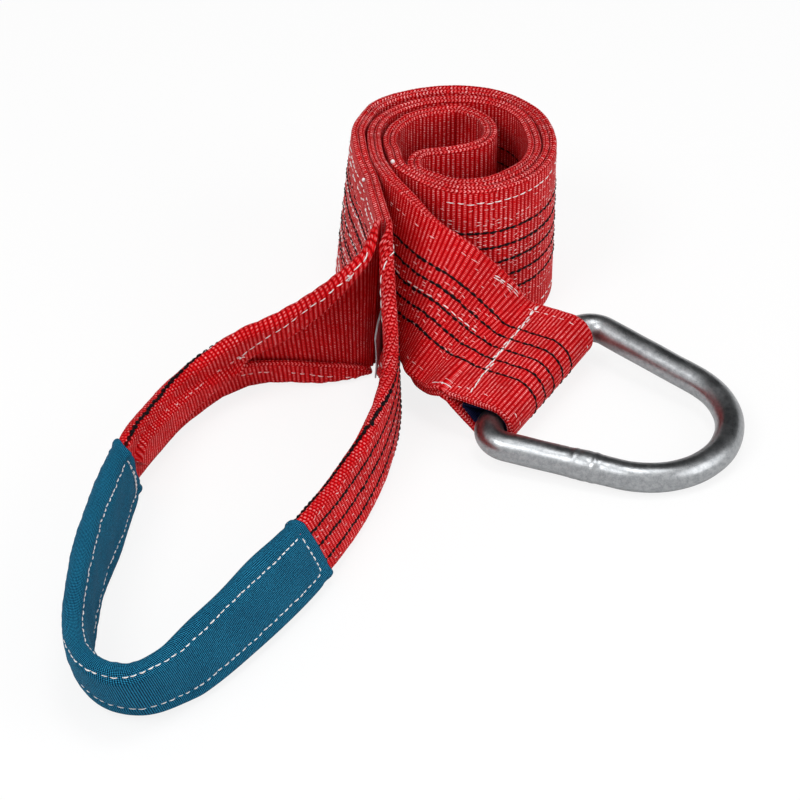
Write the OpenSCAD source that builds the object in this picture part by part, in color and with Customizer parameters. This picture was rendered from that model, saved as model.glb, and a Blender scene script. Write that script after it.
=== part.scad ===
// Flat web sling: two plies of webbing sewn together, a welded ring sewn into one end,
// a folded soft eye with a wear sleeve at the other, and the middle rolled up.
// The roll stands upright on the floor, its axis along Z, with the webbing's lower edge at Z = 0.

/* [Webbing] */
// Width of the webbing
web_w = 60; // [54:1:72]
// Thickness of one ply of webbing
ply_t = 2.5; // [2:0.1:3]

/* [Roll] */
// Gap between one turn of the roll and the next
turn_gap = 0.35; // [0.3:0.05:0.8]

/* [Eye] */
// Width of the eye's leg once both edges of the webbing are folded in
folded_w = 25.5; // [24:0.5:32]
// Thickness of the wear sleeve's cloth
sleeve_t = 0.9; // [0.6:0.1:1.5]
// Room between the sleeve and the folded webbing
sleeve_ease = 0.5; // [0.4:0.1:0.8]
// Distance of the sleeve's long seams from its edges
sleeve_seam_in = 4.6; // [3:0.2:7]

/* [Ring] */
// Diameter of the ring's round bar
bar_d = 10; // [8:0.5:12]
// How much shorter than half the webbing's width each half of the straight bar is
bar_short = 1.4; // [1:0.1:3]
// Bend radius at the two corners, to the middle of the bar
corner_r = 8.2; // [7:0.2:12]
// How much thicker the bar is in its bends
bend_rise = 0.05; // [0.03:0.01:0.2]
// Bend radius at the round end, to the middle of the bar
apex_r = 29.5; // [26:0.5:34]
// Length of the ring from the bar to the round end, centre to centre
ring_len = 72; // [66:1:90]
// How much thicker the bar is at the flash weld
weld_rise = 0.8; // [0.4:0.1:1.2]
// Length of the flash weld's upset
weld_len = 7; // [5:0.5:9]

/* [Ring loop] */
// Room between the bar and the cloth lining round it
bar_clear = 0.5; // [0.4:0.1:0.8]
// Thickness of the cloth lining
lining_t = 0.5; // [0.4:0.1:1]
// Distance from the bar to the cross seam that closes the loop
loop_len = 17; // [15:0.5:24]

/* [Stitching] */
// Width of a row of stitches
stitch_w = 1; // [0.6:0.1:1.4]
// How far a row of stitches stands off the cloth
stitch_t = 0.3; // [0.2:0.05:0.5]
// Distance of the outer rows from the webbing's edges
edge_row_in = 5; // [3:0.5:8]
// Distance between the black stripes, and of the rows sewn along them
stripe_pitch = 6.4; // [5:0.2:8]

/* [Label] */
// Width of the label
label_w = 28; // [20:1:36]
// Length of the label that shows beyond the seam
label_len = 18; // [12:1:24]
// Thickness of the label
label_t = 0.6; // [0.4:0.1:1]

/* [Hidden] */

strand_t = 2 * ply_t;
turn_pitch = strand_t + turn_gap;
bar_r = bar_d / 2;
bar_half = web_w / 2 - bar_short;

// Where the roll's axis stands, from the middle of the floor the sling covers
home = [14.5, 106.2, 0];

// Radius of the innermost turn at every 45 degrees, seen from above, anticlockwise from the right
hollow = [27, 27.5, 25.5, 25.5, 24.5, 22, 28.2, 27.8];
// How loosely the turns lie on each other there, where 1 is face to face
looseness = [1.02, 1.12, 1.3, 1.35, 1.05, 1, 1, 1];
hollow_step = 45;
// Step between the sections of a turn
turn_step = 10;

// Middle of the webbing where it doubles back at the start of the roll, and the two ways on from there
fold_nose = [-16, -15];
fold_to_eye = [[-15.2, -11.2], [-12, -8.2], [-6, -7], [1, -5], [7.5, -1.5], [11, 4.5], [11.3, 12], [8.2, 19.5]];
fold_to_ring = [[-15.3, -18.8], [-12.5, -21.8]];
// First and last angle of each strand's turns
eye_turns = [90, 500];
ring_turns = [250, 540];

// Where the two plies part, and how far behind it each leg's end lies, as a share of a ply
throat_y = -53;
leg_ends = [1, 0.6];
// Lower edge of the strand on its way to the eye, and the upper edge's offset as a share of the width
eye_run = [
    [-41.5, 10, 0.3, 0.1, 0, 1],
    [-42, 0, 0.3, 0.11, 0, 1],
    [-41, -12, 0.3, 0.12, 0, 1],
    [-38, -25, 0.3, 0.12, 0, 1],
    [-34.2, -38, 0.3, 0.09, 0, 1],
    [-29.3, throat_y, 0.3, 0.05, 0, 1]
];
// The same for the strand on its way to the ring
ring_run = [
    [-29.3, -13, 0.1, 0.01, 0.02, 1],
    [-26.8, -29, 0.5, 0.04, 0.08, 0.99],
    [-25, -45, 3, 0.15, 0.15, 0.91],
    [-21.8, -58, 7, 0.23, 0.29, 0.75],
    [-18.8, -70, 11, 0.33, 0.47, 0.57],
    [-17.6, -81, 13.5, 0.46, 0.68, 0.37],
    [-12.5, -87, 12.5, 0.5, 0.77, 0.25]
];
// Lower edge of the eye from its back leg round the tip to its front leg, and the upper edge's direction
eye_path = [
    [-30.7, throat_y - leg_ends[0] * ply_t, 0, 0.05, 0, 1],
    [-33.8, -59, 0, 0.02, -0.04, 1],
    [-40, -62, 0, -0.04, -0.09, 1],
    [-49.5, -64, 0, -0.07, -0.18, 0.98],
    [-61, -63.5, 0, -0.09, -0.33, 0.94],
    [-72, -65, 0, -0.11, -0.4, 0.91],
    [-82, -71.5, 0, -0.11, -0.44, 0.89],
    [-91.3, -82.5, 0, -0.1, -0.41, 0.9],
    [-100.5, -98.5, 0, -0.04, -0.34, 0.94],
    [-111, -126.5, 0, 0.04, -0.2, 0.98],
    [-115.5, -147.5, 0, 0.06, -0.12, 0.99],
    [-118.5, -174, 0, 0.02, -0.08, 1],
    [-120.3, -202, 0, 0.02, -0.12, 0.99],
    [-117.5, -222, 0, -0.06, -0.32, 0.94],
    [-109, -236, 0, -0.15, -0.37, 0.92],
    [-98, -240, 0, -0.19, -0.4, 0.9],
    [-86, -233, 0, -0.25, -0.36, 0.9],
    [-73, -220, 0, -0.29, -0.16, 0.94],
    [-57.5, -197.5, 0, -0.35, -0.12, 0.93],
    [-44.5, -174.5, 0, -0.35, -0.14, 0.93],
    [-34, -147, 0, -0.28, -0.15, 0.95],
    [-27, -121.5, 0, -0.18, -0.22, 0.96],
    [-24, -101, 0, -0.08, -0.26, 0.96],
    [-23, -84, 0, -0.03, -0.24, 0.97],
    [-24.8, -68, 0, 0, -0.09, 1],
    [-29, throat_y - leg_ends[1] * ply_t, 0, 0.05, 0, 1]
];
// Stations over which each leg's edges close, and how quickly they do
back_taper = [9, 2];
front_taper = [6, 3];
// Stations at which the sleeve starts and ends
sleeve_span = [9, 19];

// Bar's middle line where the webbing's lower edge crosses it, the bar's heading and slope,
// and how far the ring and the loop dip from it
bar_near = [9.4457, -102.4299, 8.5208];
bar_turn = -30.4;
bar_slope = 3.4;
ring_dip = 3.6;
loop_dip = 20;
// Place of the flash weld along the leg, as a share of the leg
weld_at = 0.7;

// Lower front corner of the label, between the eye's two legs
label_at = [-29.8, -57 - label_len, 4];
// Sections over which the eye's two ends are sewn together, and the distance between those rows
sewn_sections = 9;
throat_pitch = 8;

// The folded edges start a little way out from the throat, and never quite meet
fold_from = 4;
fold_limit = 0.48;
fold_gap = 0.3;
fold_span = [-ply_t - fold_gap, -fold_gap];
// Small gap under every row of stitches, and the step where a flat side runs onto a round one
thread_gap = 0.14 * ply_t;
tangent_gap = 0.02;

// Sections between one station and the next
run_fine = 4;
fold_fine = 3;
eye_fine = 4;
// Strips across the body's width, which keep its twisted stretch smooth
body_strips = 5;
eye_strips = 2;
$fn = 96;

// ---- Curves and sections ----

function unit(v) = v / norm(v);
function part(v, from, to) = [for (i = [from:to]) v[i]];
function reversed(list) = [for (i = [len(list) - 1:-1:0]) list[i]];
function ease(x, from, to) = let (t = min(1, max(0, (x - from) / (to - from)))) t * t * (3 - 2 * t);

// Smooth curve through b and c, with a and d as their neighbours
function between(a, b, c, d, t) =
    0.5 * (2 * b + (c - a) * t + (2 * a - 5 * b + 4 * c - d) * t * t + (3 * b - 3 * c + d - a) * t * t * t);
function before(rows, i) = i > 0 ? rows[i - 1] : 2 * rows[0] - rows[1];
function after(rows, i) = let (n = len(rows)) i + 2 < n ? rows[i + 2] : 2 * rows[n - 1] - rows[n - 2];
function curve(rows, fine) = [
    for (i = [0:len(rows) - 2]) for (k = [0:fine - 1])
        between(before(rows, i), rows[i], rows[i + 1], after(rows, i), k / fine),
    rows[len(rows) - 1]
];

// A ring of values read at any angle
function around(values, angle) =
    let (n = len(values), q = angle / hollow_step, i = floor(q))
    between(values[(i + n - 1) % n], values[i % n], values[(i + 1) % n], values[(i + 2) % n], q - i);

// Plan of a strand: it lies further out by one layer each time the other strand slides in below it
function turn_point(angle, layer) =
    let (r = around(hollow, angle) + layer * turn_pitch * around(looseness, angle))
    [r * cos(angle), r * sin(angle)];
function eye_layer(angle) = ease(angle, 188, 225) + ease(angle, 370, 440);
function ring_layer(angle) = ease(angle, 370, 440);
eye_plan = [for (a = [eye_turns[0]:turn_step:eye_turns[1]]) turn_point(a, eye_layer(a))];
ring_plan = [for (a = [ring_turns[0]:turn_step:ring_turns[1]]) turn_point(a, ring_layer(a))];
fold_plan = concat([eye_plan[1], eye_plan[0]], reversed(fold_to_eye), [fold_nose], fold_to_ring,
    [ring_plan[0], ring_plan[1]]);

// A row holds the lower edge's point and then the upper edge's point
function upright(p) = let (foot = [p[0], p[1], 0] + home) concat(foot, foot + [0, 0, web_w]);
function spanned(row, width) =
    let (foot = part(row, 0, 2) + home) concat(foot, foot + width * part(row, 3, 5));
function low(row) = part(row, 0, 2);
function high(row) = part(row, 3, 5);

// The loop's own directions: along the webbing, along the bar, and up through the webbing
function turned(v) =
    let (y = v[1] * cos(bar_slope) - v[2] * sin(bar_slope), z = v[1] * sin(bar_slope) + v[2] * cos(bar_slope))
    [v[0] * cos(bar_turn) - y * sin(bar_turn), v[0] * sin(bar_turn) + y * cos(bar_turn), z];
loop_way = turned([cos(loop_dip), 0, -sin(loop_dip)]);
bar_way = turned([0, 1, 0]);
bar_mid = bar_near + bar_way * web_w / 2;
function loop_row(distance) =
    let (middle = bar_mid + home - distance * loop_way)
    concat(middle - bar_way * web_w / 2, middle + bar_way * web_w / 2);

eye_run_rows = concat([for (i = [2:-1:1]) upright(eye_plan[len(eye_plan) - i])],
    [for (row = eye_run) spanned(row, web_w)]);
eye_run_line = curve(eye_run_rows, run_fine);
ring_run_rows = concat([for (i = [2:-1:1]) upright(ring_plan[len(ring_plan) - i])],
    [for (row = ring_run) spanned(row, web_w)], [loop_row(loop_len + 4), loop_row(loop_len + 0.2), loop_row(0)]);
ring_run_line = curve(ring_run_rows, run_fine);
fold_line = curve(fold_plan, fold_fine);

// The whole body strand, from the eye's throat through the roll to the ring's cross seam
body_rows = concat(
    reversed(part(eye_run_line, run_fine, len(eye_run_line) - 1)),
    [for (i = [len(eye_plan) - 2:-1:1]) upright(eye_plan[i])],
    [for (i = [fold_fine:len(fold_line) - 1 - fold_fine]) upright(fold_line[i])],
    [for (i = [1:len(ring_plan) - 2]) upright(ring_plan[i])],
    part(ring_run_line, run_fine, len(ring_run_line) - 1 - run_fine)
);
strap_count = len(ring_run_line) - 2 * run_fine;
throat_count = len(eye_run_line) - run_fine;

eye_stations = len(eye_path) - 1;
function closing(left, taper) = pow(max(0, 1 - left / taper[0]), taper[1]);
function leg_w(station) =
    folded_w + (web_w - folded_w) * max(closing(station, back_taper), closing(eye_stations - station, front_taper));
eye_line = curve([for (i = [0:eye_stations])
    let (row = eye_path[i]) spanned(concat(part(row, 0, 2), unit(part(row, 3, 5))), leg_w(i))], eye_fine);

// The leg is raised until the lowest corner of its section, or of the sleeve round it, meets the floor
sleeve_room = sleeve_ease + sleeve_t;
function room_at(station) = sleeve_room
    * ease(station, sleeve_span[0] - 1, sleeve_span[0]) * (1 - ease(station, sleeve_span[1], sleeve_span[1] + 1));
function raised(rows, i) =
    let (
        span = high(rows[i]) - low(rows[i]), room = room_at(i / eye_fine),
        square = unit(cross(heading(rows, i), span)),
        rise = [0, 0, (ply_t + fold_gap + room) * abs(square[2]) + room * span[2] / norm(span)]
    )
    concat(low(rows[i]) + rise, high(rows[i]) + rise);
eye_rows = [for (i = [0:len(eye_line) - 1]) raised(eye_line, i)];
eye_count = len(eye_rows);

// ---- Sheets swept along rows ----

function heading(rows, i) =
    let (n = len(rows), a = rows[max(0, i - 1)], b = rows[min(n - 1, i + 1)])
    unit(low(b) + high(b) - low(a) - high(a));
// Point of a sheet at a share of its width and a distance off its middle
function sheet_point(rows, i, share, off) =
    let (row = rows[i], span = high(row) - low(row))
    low(row) + span * share + unit(cross(heading(rows, i), span)) * off;

// Slab of a sheet between two distances off its middle and two shares of its width, in strips
module sheet(rows, off, share = [0, 1], strips = 1) {
    loop = 2 * (strips + 1);
    function share_of(j) = share[0] + (share[1] - share[0]) * j / strips;
    points = [for (i = [0:len(rows) - 1]) each concat(
        [for (j = [0:strips]) sheet_point(rows, i, share_of(j), off[0])],
        [for (j = [strips:-1:0]) sheet_point(rows, i, share_of(j), off[1])])];
    function cap(first, side) = [for (j = [0:strips - 1])
        let (a = first + j, b = first + loop - 1 - j)
        each (side > 0 ? [[a, a + 1, b], [a + 1, b - 1, b]] : [[a, b, a + 1], [a + 1, b, b - 1]])];
    // Both faces are cut along the same diagonals, so two sheets that share rows lie flat together
    sides = [for (i = [0:len(rows) - 2]) for (j = [0:loop - 1])
        let (a = loop * i + j, b = loop * i + (j + 1) % loop)
        each (j < strips ? [[a, b + loop, b], [a, a + loop, b + loop]] : [[a, a + loop, b], [b, a + loop, b + loop]])];
    polyhedron(points, concat(cap(0, 1), cap(loop * (len(rows) - 1), -1), sides), convexity = 10);
}

// Row of stitches on one face of a sheet, at a distance from its lower edge
module stitch_row(rows, from_edge, width, face) {
    middle = from_edge / width;
    half = stitch_w / 2 / width;
    sheet(rows, thread_span(face), [middle - half, middle + half]);
}

// Depth that a thread fills just above a face
function thread_span(face) =
    face > 0 ? [face + thread_gap, face + thread_gap + stitch_t] : [face - thread_gap - stitch_t, face - thread_gap];

// ---- Webbing ----

module outer_ply() {
    color("crimson") sheet(body_rows, [0, ply_t], strips = body_strips);
}

module inner_ply() {
    color("crimson") sheet(body_rows, [-ply_t, 0], strips = body_strips);
}

// Teardrop round the bar that tapers to a flat end
module teardrop(r, end, half_end, width) {
    touch = atan2(half_end, -end) - acos(r / norm([end, half_end]));
    rotate([90, 0, 0]) {
        cylinder(r = r, h = width, center = true);
        linear_extrude(width, center = true) polygon([
            [-end, half_end], (r - tangent_gap) * [cos(touch), sin(touch)],
            (r - tangent_gap) * [cos(touch), -sin(touch)], [-end, -half_end]]);
    }
}

lining_r = bar_r + bar_clear;
loop_r = lining_r + lining_t;
// Length of the sewn root of the loop, where its two plies already touch
loop_root = 1;
// How much shorter and narrower than the loop the lining is
lining_root = 5;
lining_in = 0.5;
lining_gap = 0.1;

module at_bar(dip) {
    translate(bar_mid + home) rotate([0, 0, bar_turn]) rotate([bar_slope, 0, 0]) rotate([0, dip, 0]) children();
}

module ring_loop() {
    color("crimson") at_bar(loop_dip) difference() {
        teardrop(loop_r + ply_t, loop_len, ply_t, web_w);
        teardrop(loop_r, loop_len - loop_root, loop_root / 4, web_w + 2);
    }
}

module loop_lining() {
    color("midnightblue") at_bar(loop_dip) difference() {
        teardrop(loop_r - lining_gap, loop_len - lining_root, lining_t, web_w - 2 * lining_in);
        teardrop(lining_r, loop_len - lining_root - 2, lining_t / 4, web_w);
    }
}

// Rows of one folded edge, from the leg's edge inwards as far as the turned-in cloth reaches
fold_rows_at = [fold_from:eye_count - 1 - fold_from];
function fold_share(row) = let (w = norm(high(row) - low(row))) min(fold_limit, (web_w - w) / 2 / w);
function lower_fold(row) = let (s = fold_share(row)) concat(low(row), low(row) * (1 - s) + high(row) * s);
function upper_fold(row) = let (s = fold_share(row)) concat(low(row) * s + high(row) * (1 - s), high(row));

module eye_panel() {
    color("crimson") sheet(eye_rows, [0, ply_t], strips = eye_strips);
}

module eye_upper_fold() {
    color("crimson") sheet([for (i = fold_rows_at) upper_fold(eye_rows[i])], fold_span, strips = eye_strips);
}

module eye_lower_fold() {
    color("crimson") sheet([for (i = fold_rows_at) lower_fold(eye_rows[i])], fold_span, strips = eye_strips);
}

// ---- Ring ----

apex_x = ring_len - apex_r;
// Direction square to a leg, from the two bends that it touches
leg_square = let (dx = apex_x - corner_r, dist = norm([dx, bar_half]))
    acos((corner_r - apex_r) / dist) - atan2(bar_half, dx);
leg_foot = [corner_r + corner_r * cos(leg_square), bar_half + corner_r * sin(leg_square)];
leg_head = [apex_x + apex_r * cos(leg_square), apex_r * sin(leg_square)];
leg_len = norm(leg_head - leg_foot);
bend_lap = 0.2;

// Straight bar from a point in the ring's plane, along a heading, let into the bend at each end
module straight(from, heading, length) {
    translate([from[0], from[1], 0]) rotate([0, 90, heading])
        translate([0, 0, -bend_lap]) cylinder(d = bar_d, h = length + 2 * bend_lap);
}

module bend(radius, from, to) {
    rotate([0, 0, from]) rotate_extrude(angle = to - from)
        translate([radius, 0]) circle(d = bar_d + bend_rise);
}

module flash_weld() {
    rotate_extrude() polygon([
        [0, -weld_len / 2], [bar_r - weld_rise, -weld_len / 2], [bar_r + weld_rise / 2, -weld_len / 5],
        [bar_r + weld_rise / 2, weld_len / 5], [bar_r - weld_rise, weld_len / 2], [0, weld_len / 2]]);
}

// One corner of the ring and the leg that runs on from it
module ring_side() {
    translate([corner_r, bar_half, 0]) bend(corner_r, leg_square, 180);
    straight(leg_foot, leg_square - 90, leg_len);
}

module ring() {
    color("silver") at_bar(ring_dip) {
        straight([0, -bar_half], 90, 2 * bar_half);
        ring_side();
        mirror([0, 1, 0]) ring_side();
        translate([apex_x, 0, 0]) bend(apex_r, -leg_square, leg_square);
        mirror([0, 1, 0]) translate([leg_foot[0], leg_foot[1], 0]) rotate([0, 90, leg_square - 90])
            translate([0, 0, leg_len * weld_at]) flash_weld();
    }
}

// ---- Wear sleeve ----

sleeve_rows = [for (i = [sleeve_span[0] * eye_fine:sleeve_span[1] * eye_fine]) eye_rows[i]];

// The leg's own section, grown by a margin on its edges and on both faces
module grown_leg(rows, margin) {
    grown = [for (row = rows)
        let (up = unit(high(row) - low(row))) concat(low(row) - up * margin, high(row) + up * margin)];
    sheet(grown, [fold_span[0] - margin, ply_t + margin], strips = eye_strips);
}

// Rows lengthened a little at both ends, for cutting right through
function overrun(rows) =
    let (n = len(rows)) concat([rows[0] + (rows[0] - rows[1]) * 0.5], rows, [rows[n - 1] * 1.5 - rows[n - 2] * 0.5]);

module wear_sleeve() {
    color("steelblue") translate([0, 0, 0]) difference() {
        grown_leg(sleeve_rows, sleeve_room);
        grown_leg(overrun(sleeve_rows), sleeve_ease);
    }
}

// ---- Label ----

module label() {
    color("gainsboro") translate(label_at + home) cube([label_t, label_len, label_w]);
}

// ---- Stitching ----

body_count = len(body_rows);
// Rows before the ring's cross seam at which the long seams stop
seam_stop = 8;
// Parts of the body that can be seen: the way to the ring, and the way to the eye
strap_rows = part(body_rows, body_count - strap_count + 2 * run_fine, body_count - seam_stop);
throat_rows = part(body_rows, 1, throat_count);
sewn_rows = part(throat_rows, 0, sewn_sections);

module edge_seam(from_edge) {
    color("white") {
        stitch_row(strap_rows, from_edge, web_w, ply_t);
        stitch_row(strap_rows, from_edge, web_w, -ply_t);
        stitch_row(throat_rows, from_edge, web_w, -ply_t);
    }
}

module upper_edge_seam() {
    edge_seam(web_w - edge_row_in);
}

module lower_edge_seam() {
    edge_seam(edge_row_in);
}

module middle_seams() {
    color("white") for (k = [-1:1]) {
        stitch_row(strap_rows, web_w / 2 + k * stripe_pitch, web_w, ply_t);
        stitch_row(strap_rows, web_w / 2 + k * stripe_pitch, web_w, -ply_t);
    }
}

// Band of stitches across a sheet between two neighbouring sections, on both faces
module cross_band(rows, from, faces, margin) {
    step = rows[from + 1] - rows[from];
    pair = [rows[from], rows[from] + step * min(1, stitch_w / norm(low(step)))];
    for (face = faces) sheet(pair, thread_span(face), [margin, 1 - margin], strips = body_strips);
}

module ring_cross_seam() {
    color("white") cross_band(body_rows, body_count - 3, [-ply_t, ply_t], 2 * edge_row_in / web_w);
}

module throat_seam() {
    color("white") for (k = [-2:2])
        stitch_row(sewn_rows, web_w / 2 + k * throat_pitch, web_w, -ply_t);
}

sleeve_faces = [-ply_t - fold_gap - sleeve_room, ply_t + sleeve_room];

module sleeve_row(from_edge) {
    color("white") for (face = sleeve_faces) stitch_row(sleeve_rows, from_edge, folded_w, face);
}

module sleeve_upper_seam() {
    sleeve_row(folded_w - sleeve_seam_in);
}

module sleeve_lower_seam() {
    sleeve_row(sleeve_seam_in);
}

module sleeve_end_seams() {
    margin = 1.5 * sleeve_seam_in / folded_w;
    color("white") for (from = [2, len(sleeve_rows) - 3]) cross_band(sleeve_rows, from, sleeve_faces, margin);
}

outer_ply();
inner_ply();
ring_loop();
loop_lining();
ring();
eye_panel();
eye_upper_fold();
eye_lower_fold();
wear_sleeve();
label();
upper_edge_seam();
lower_edge_seam();
middle_seams();
ring_cross_seam();
throat_seam();
sleeve_upper_seam();
sleeve_lower_seam();
sleeve_end_seams();
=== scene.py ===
"""Flat two-ply web sling, rolled up, with a ring in one end and a sleeved soft eye at the other.

Sizes are in millimetres, and turn into metres where a mesh is made. A webbing is described by its
way through space (Route): a lower edge and an upper edge, with the cloth laid between them.
"""
import logging
import math
from collections.abc import Callable
from dataclasses import dataclass, field, replace
from enum import Enum

import bpy
import numpy as np
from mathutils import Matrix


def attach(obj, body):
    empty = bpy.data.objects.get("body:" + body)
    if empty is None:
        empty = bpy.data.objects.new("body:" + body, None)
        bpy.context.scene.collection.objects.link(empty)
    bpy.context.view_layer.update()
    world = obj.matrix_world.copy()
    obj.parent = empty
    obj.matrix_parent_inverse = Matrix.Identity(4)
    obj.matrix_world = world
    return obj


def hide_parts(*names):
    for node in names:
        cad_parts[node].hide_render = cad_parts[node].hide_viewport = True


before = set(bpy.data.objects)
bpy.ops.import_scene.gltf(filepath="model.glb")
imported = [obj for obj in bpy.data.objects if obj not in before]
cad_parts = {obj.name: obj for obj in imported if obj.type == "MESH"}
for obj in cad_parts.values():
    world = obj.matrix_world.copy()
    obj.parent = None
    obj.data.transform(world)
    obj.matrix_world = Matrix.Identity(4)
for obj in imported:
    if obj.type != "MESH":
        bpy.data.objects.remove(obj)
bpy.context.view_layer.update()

LOG = logging.getLogger("web_sling")
MM = 0.001
HOME = np.array([14.5, 106.2, 0.0])  # the roll's axis on the floor
WEB_W = 60.0
PLY = 2.5
TURN_GAP = 0.35  # room between two turns of the roll
RIB = 1.6
STRIPE_PITCH = 6.4
BACK = 100.0  # distances across are mirrored here, so that an inner face repeats its outer one
NEVER = 1e4  # further along than any webbing reaches
COARSE = 1.0

Array = np.ndarray
Pair = tuple[float, float]
Triple = tuple[float, float, float]
Colour = Triple
Level = float | Callable[[Array, Array], Array]
Material, Node, Socket = bpy.types.Material, bpy.types.Node, bpy.types.NodeSocket


class Body(Enum):
    """The two moving parts of the sling."""

    SLING = "sling"
    RING = "ring"


# ---------------------------------------------------------------- curves

def ease(x: Array, start: float, end: float) -> Array:
    """Smooth step from 0 at start to 1 at end."""
    t = np.clip((np.asarray(x, float) - start) / (end - start), 0, 1)
    return t * t * (3 - 2 * t)


def bell(x: Array, middle: float, width: float) -> Array:
    """Bell curve of height 1 round a middle."""
    return np.exp(-((np.asarray(x, float) - middle) / width) ** 2)


def unit(v: Array) -> Array:
    """Vectors of length 1 along the last axis."""
    return v / np.maximum(np.linalg.norm(v, axis=-1, keepdims=True), 1e-9)


def polar(radius: float, degrees: float) -> list[float]:
    """Point at a distance from the origin, in a direction."""
    return [radius * math.cos(math.radians(degrees)), radius * math.sin(math.radians(degrees))]


def travelled(points: Array) -> Array:
    """Distances along lines of points, from 0 at the first one."""
    steps = np.linalg.norm(np.diff(points, axis=-2), axis=-1)
    return np.concatenate([np.zeros((*steps.shape[:-1], 1)), np.cumsum(steps, axis=-1)], axis=-1)


def between(a: Array, b: Array, c: Array, d: Array, t: Array) -> Array:
    """Smooth way from b to c, for t from 0 to 1, where a comes before them and d after."""
    return 0.5 * (2 * b + (c - a) * t + (2 * a - 5 * b + 4 * c - d) * t ** 2
                  + (3 * b - 3 * c + d - a) * t ** 3)


def spline(points: Array, steps: int) -> Array:
    """Run a smooth curve through points.

    Args:
        points: one point a row, of any dimension.
        steps: steps from one point to the next.

    Returns:
        The curve's points, one a row.
    """
    p = np.asarray(points, float)
    q = np.vstack([2 * p[0] - p[1], p, 2 * p[-1] - p[-2]])
    t = (np.arange(steps) / steps)[:, None]
    return np.vstack([between(*q[i:i + 4], t) for i in range(len(p) - 1)] + [p[-1:]])


def around(values: tuple[float, ...], angle: float) -> float:
    """Read a ring of values, one every 45 degrees, at any angle.

    Args:
        values: the ring of values.
        angle: the angle in degrees.

    Returns:
        The value there.
    """
    place = angle / 45
    i = math.floor(place)
    return between(*(values[(i + k) % len(values)] for k in (-1, 0, 1, 2)), place - i)


def ripple(s: Array, v: Array, seed: int, wave: float, count: int = 7) -> Array:
    """Smooth unevenness over a cloth, between about -1 and 1.

    Args:
        s: distances along the cloth.
        v: distances across it.
        seed: which unevenness.
        wave: typical wave length.
        count: number of waves that are laid over each other.

    Returns:
        Heights in the shape of s and v together.
    """
    widest, shortest, longest = 0.9, 0.6, 1.7
    rng = np.random.default_rng(seed)
    total = 0.0
    for _ in range(count):
        heading, phase = rng.uniform(-widest, widest), rng.uniform(0, 2 * math.pi)
        length = wave * rng.uniform(shortest, longest)
        way = s * math.cos(heading) + v * math.sin(heading)
        total = total + np.sin(2 * math.pi * way / length + phase)
    return total / math.sqrt(count)


def turned(degrees: float, axis: str) -> Array:
    """Rotation matrix about one of the three axes.

    Args:
        degrees: the angle.
        axis: x, y or z.

    Returns:
        The matrix.
    """
    c, s = polar(1, degrees)
    return {"x": np.array([[1, 0, 0], [0, c, -s], [0, s, c]]),
            "y": np.array([[c, 0, s], [0, 1, 0], [-s, 0, c]]),
            "z": np.array([[c, -s, 0], [s, c, 0], [0, 0, 1]])}[axis]


@dataclass
class Route:
    """A webbing's way through space.

    The surface between the two edges is the middle one, and "off" is the distance from it
    towards the outside.
    """

    low: Array
    high: Array

    def __post_init__(self) -> None:
        """Measure the way along the middle of the webbing."""
        mid = (self.low + self.high) / 2
        steps = np.linalg.norm(np.diff(mid, axis=0), axis=1)
        keep = np.concatenate([[True], steps > 1e-6])
        self.low, self.high = self.low[keep], self.high[keep]
        self.travel = np.concatenate([[0], np.cumsum(steps[keep[1:]])])
        self.d_low = np.gradient(self.low, self.travel, axis=0)
        self.d_high = np.gradient(self.high, self.travel, axis=0)

    @property
    def length(self) -> float:
        """Length of the webbing's middle line."""
        return float(self.travel[-1])

    def _at(self, table: Array, s: Array) -> Array:
        """Read a table of vectors at distances s."""
        return np.stack([np.interp(s, self.travel, table[:, k]) for k in range(3)], -1)

    def span(self, s: Array) -> Array:
        """Straight distance between the two edges at distances s."""
        return np.linalg.norm(self._at(self.high, s) - self._at(self.low, s), axis=-1)

    def outward(self, s: Array, share: Array) -> Array:
        """Directions square to the cloth, towards its outside.

        Args:
            s: distances along the way.
            share: shares of the width, from the lower edge.

        Returns:
            Vectors of length 1.
        """
        s, share = np.broadcast_arrays(s, share)
        k = share[..., None]
        way = self._at(self.d_low, s) * (1 - k) + self._at(self.d_high, s) * k
        return unit(np.cross(way, self._at(self.high, s) - self._at(self.low, s)))

    def place(self, s: Array, share: Array, off: Array) -> Array:
        """Find points of the cloth.

        Args:
            s: distances along the way.
            share: shares of the width, from the lower edge.
            off: distances off the middle surface.

        Returns:
            Points, in the shape that the three have together.
        """
        s, share, off = np.broadcast_arrays(s, share, off)
        low, high = self._at(self.low, s), self._at(self.high, s)
        return low + (high - low) * share[..., None] + self.outward(s, share) * off[..., None]


# ---------------------------------------------------------------- meshes

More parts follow.
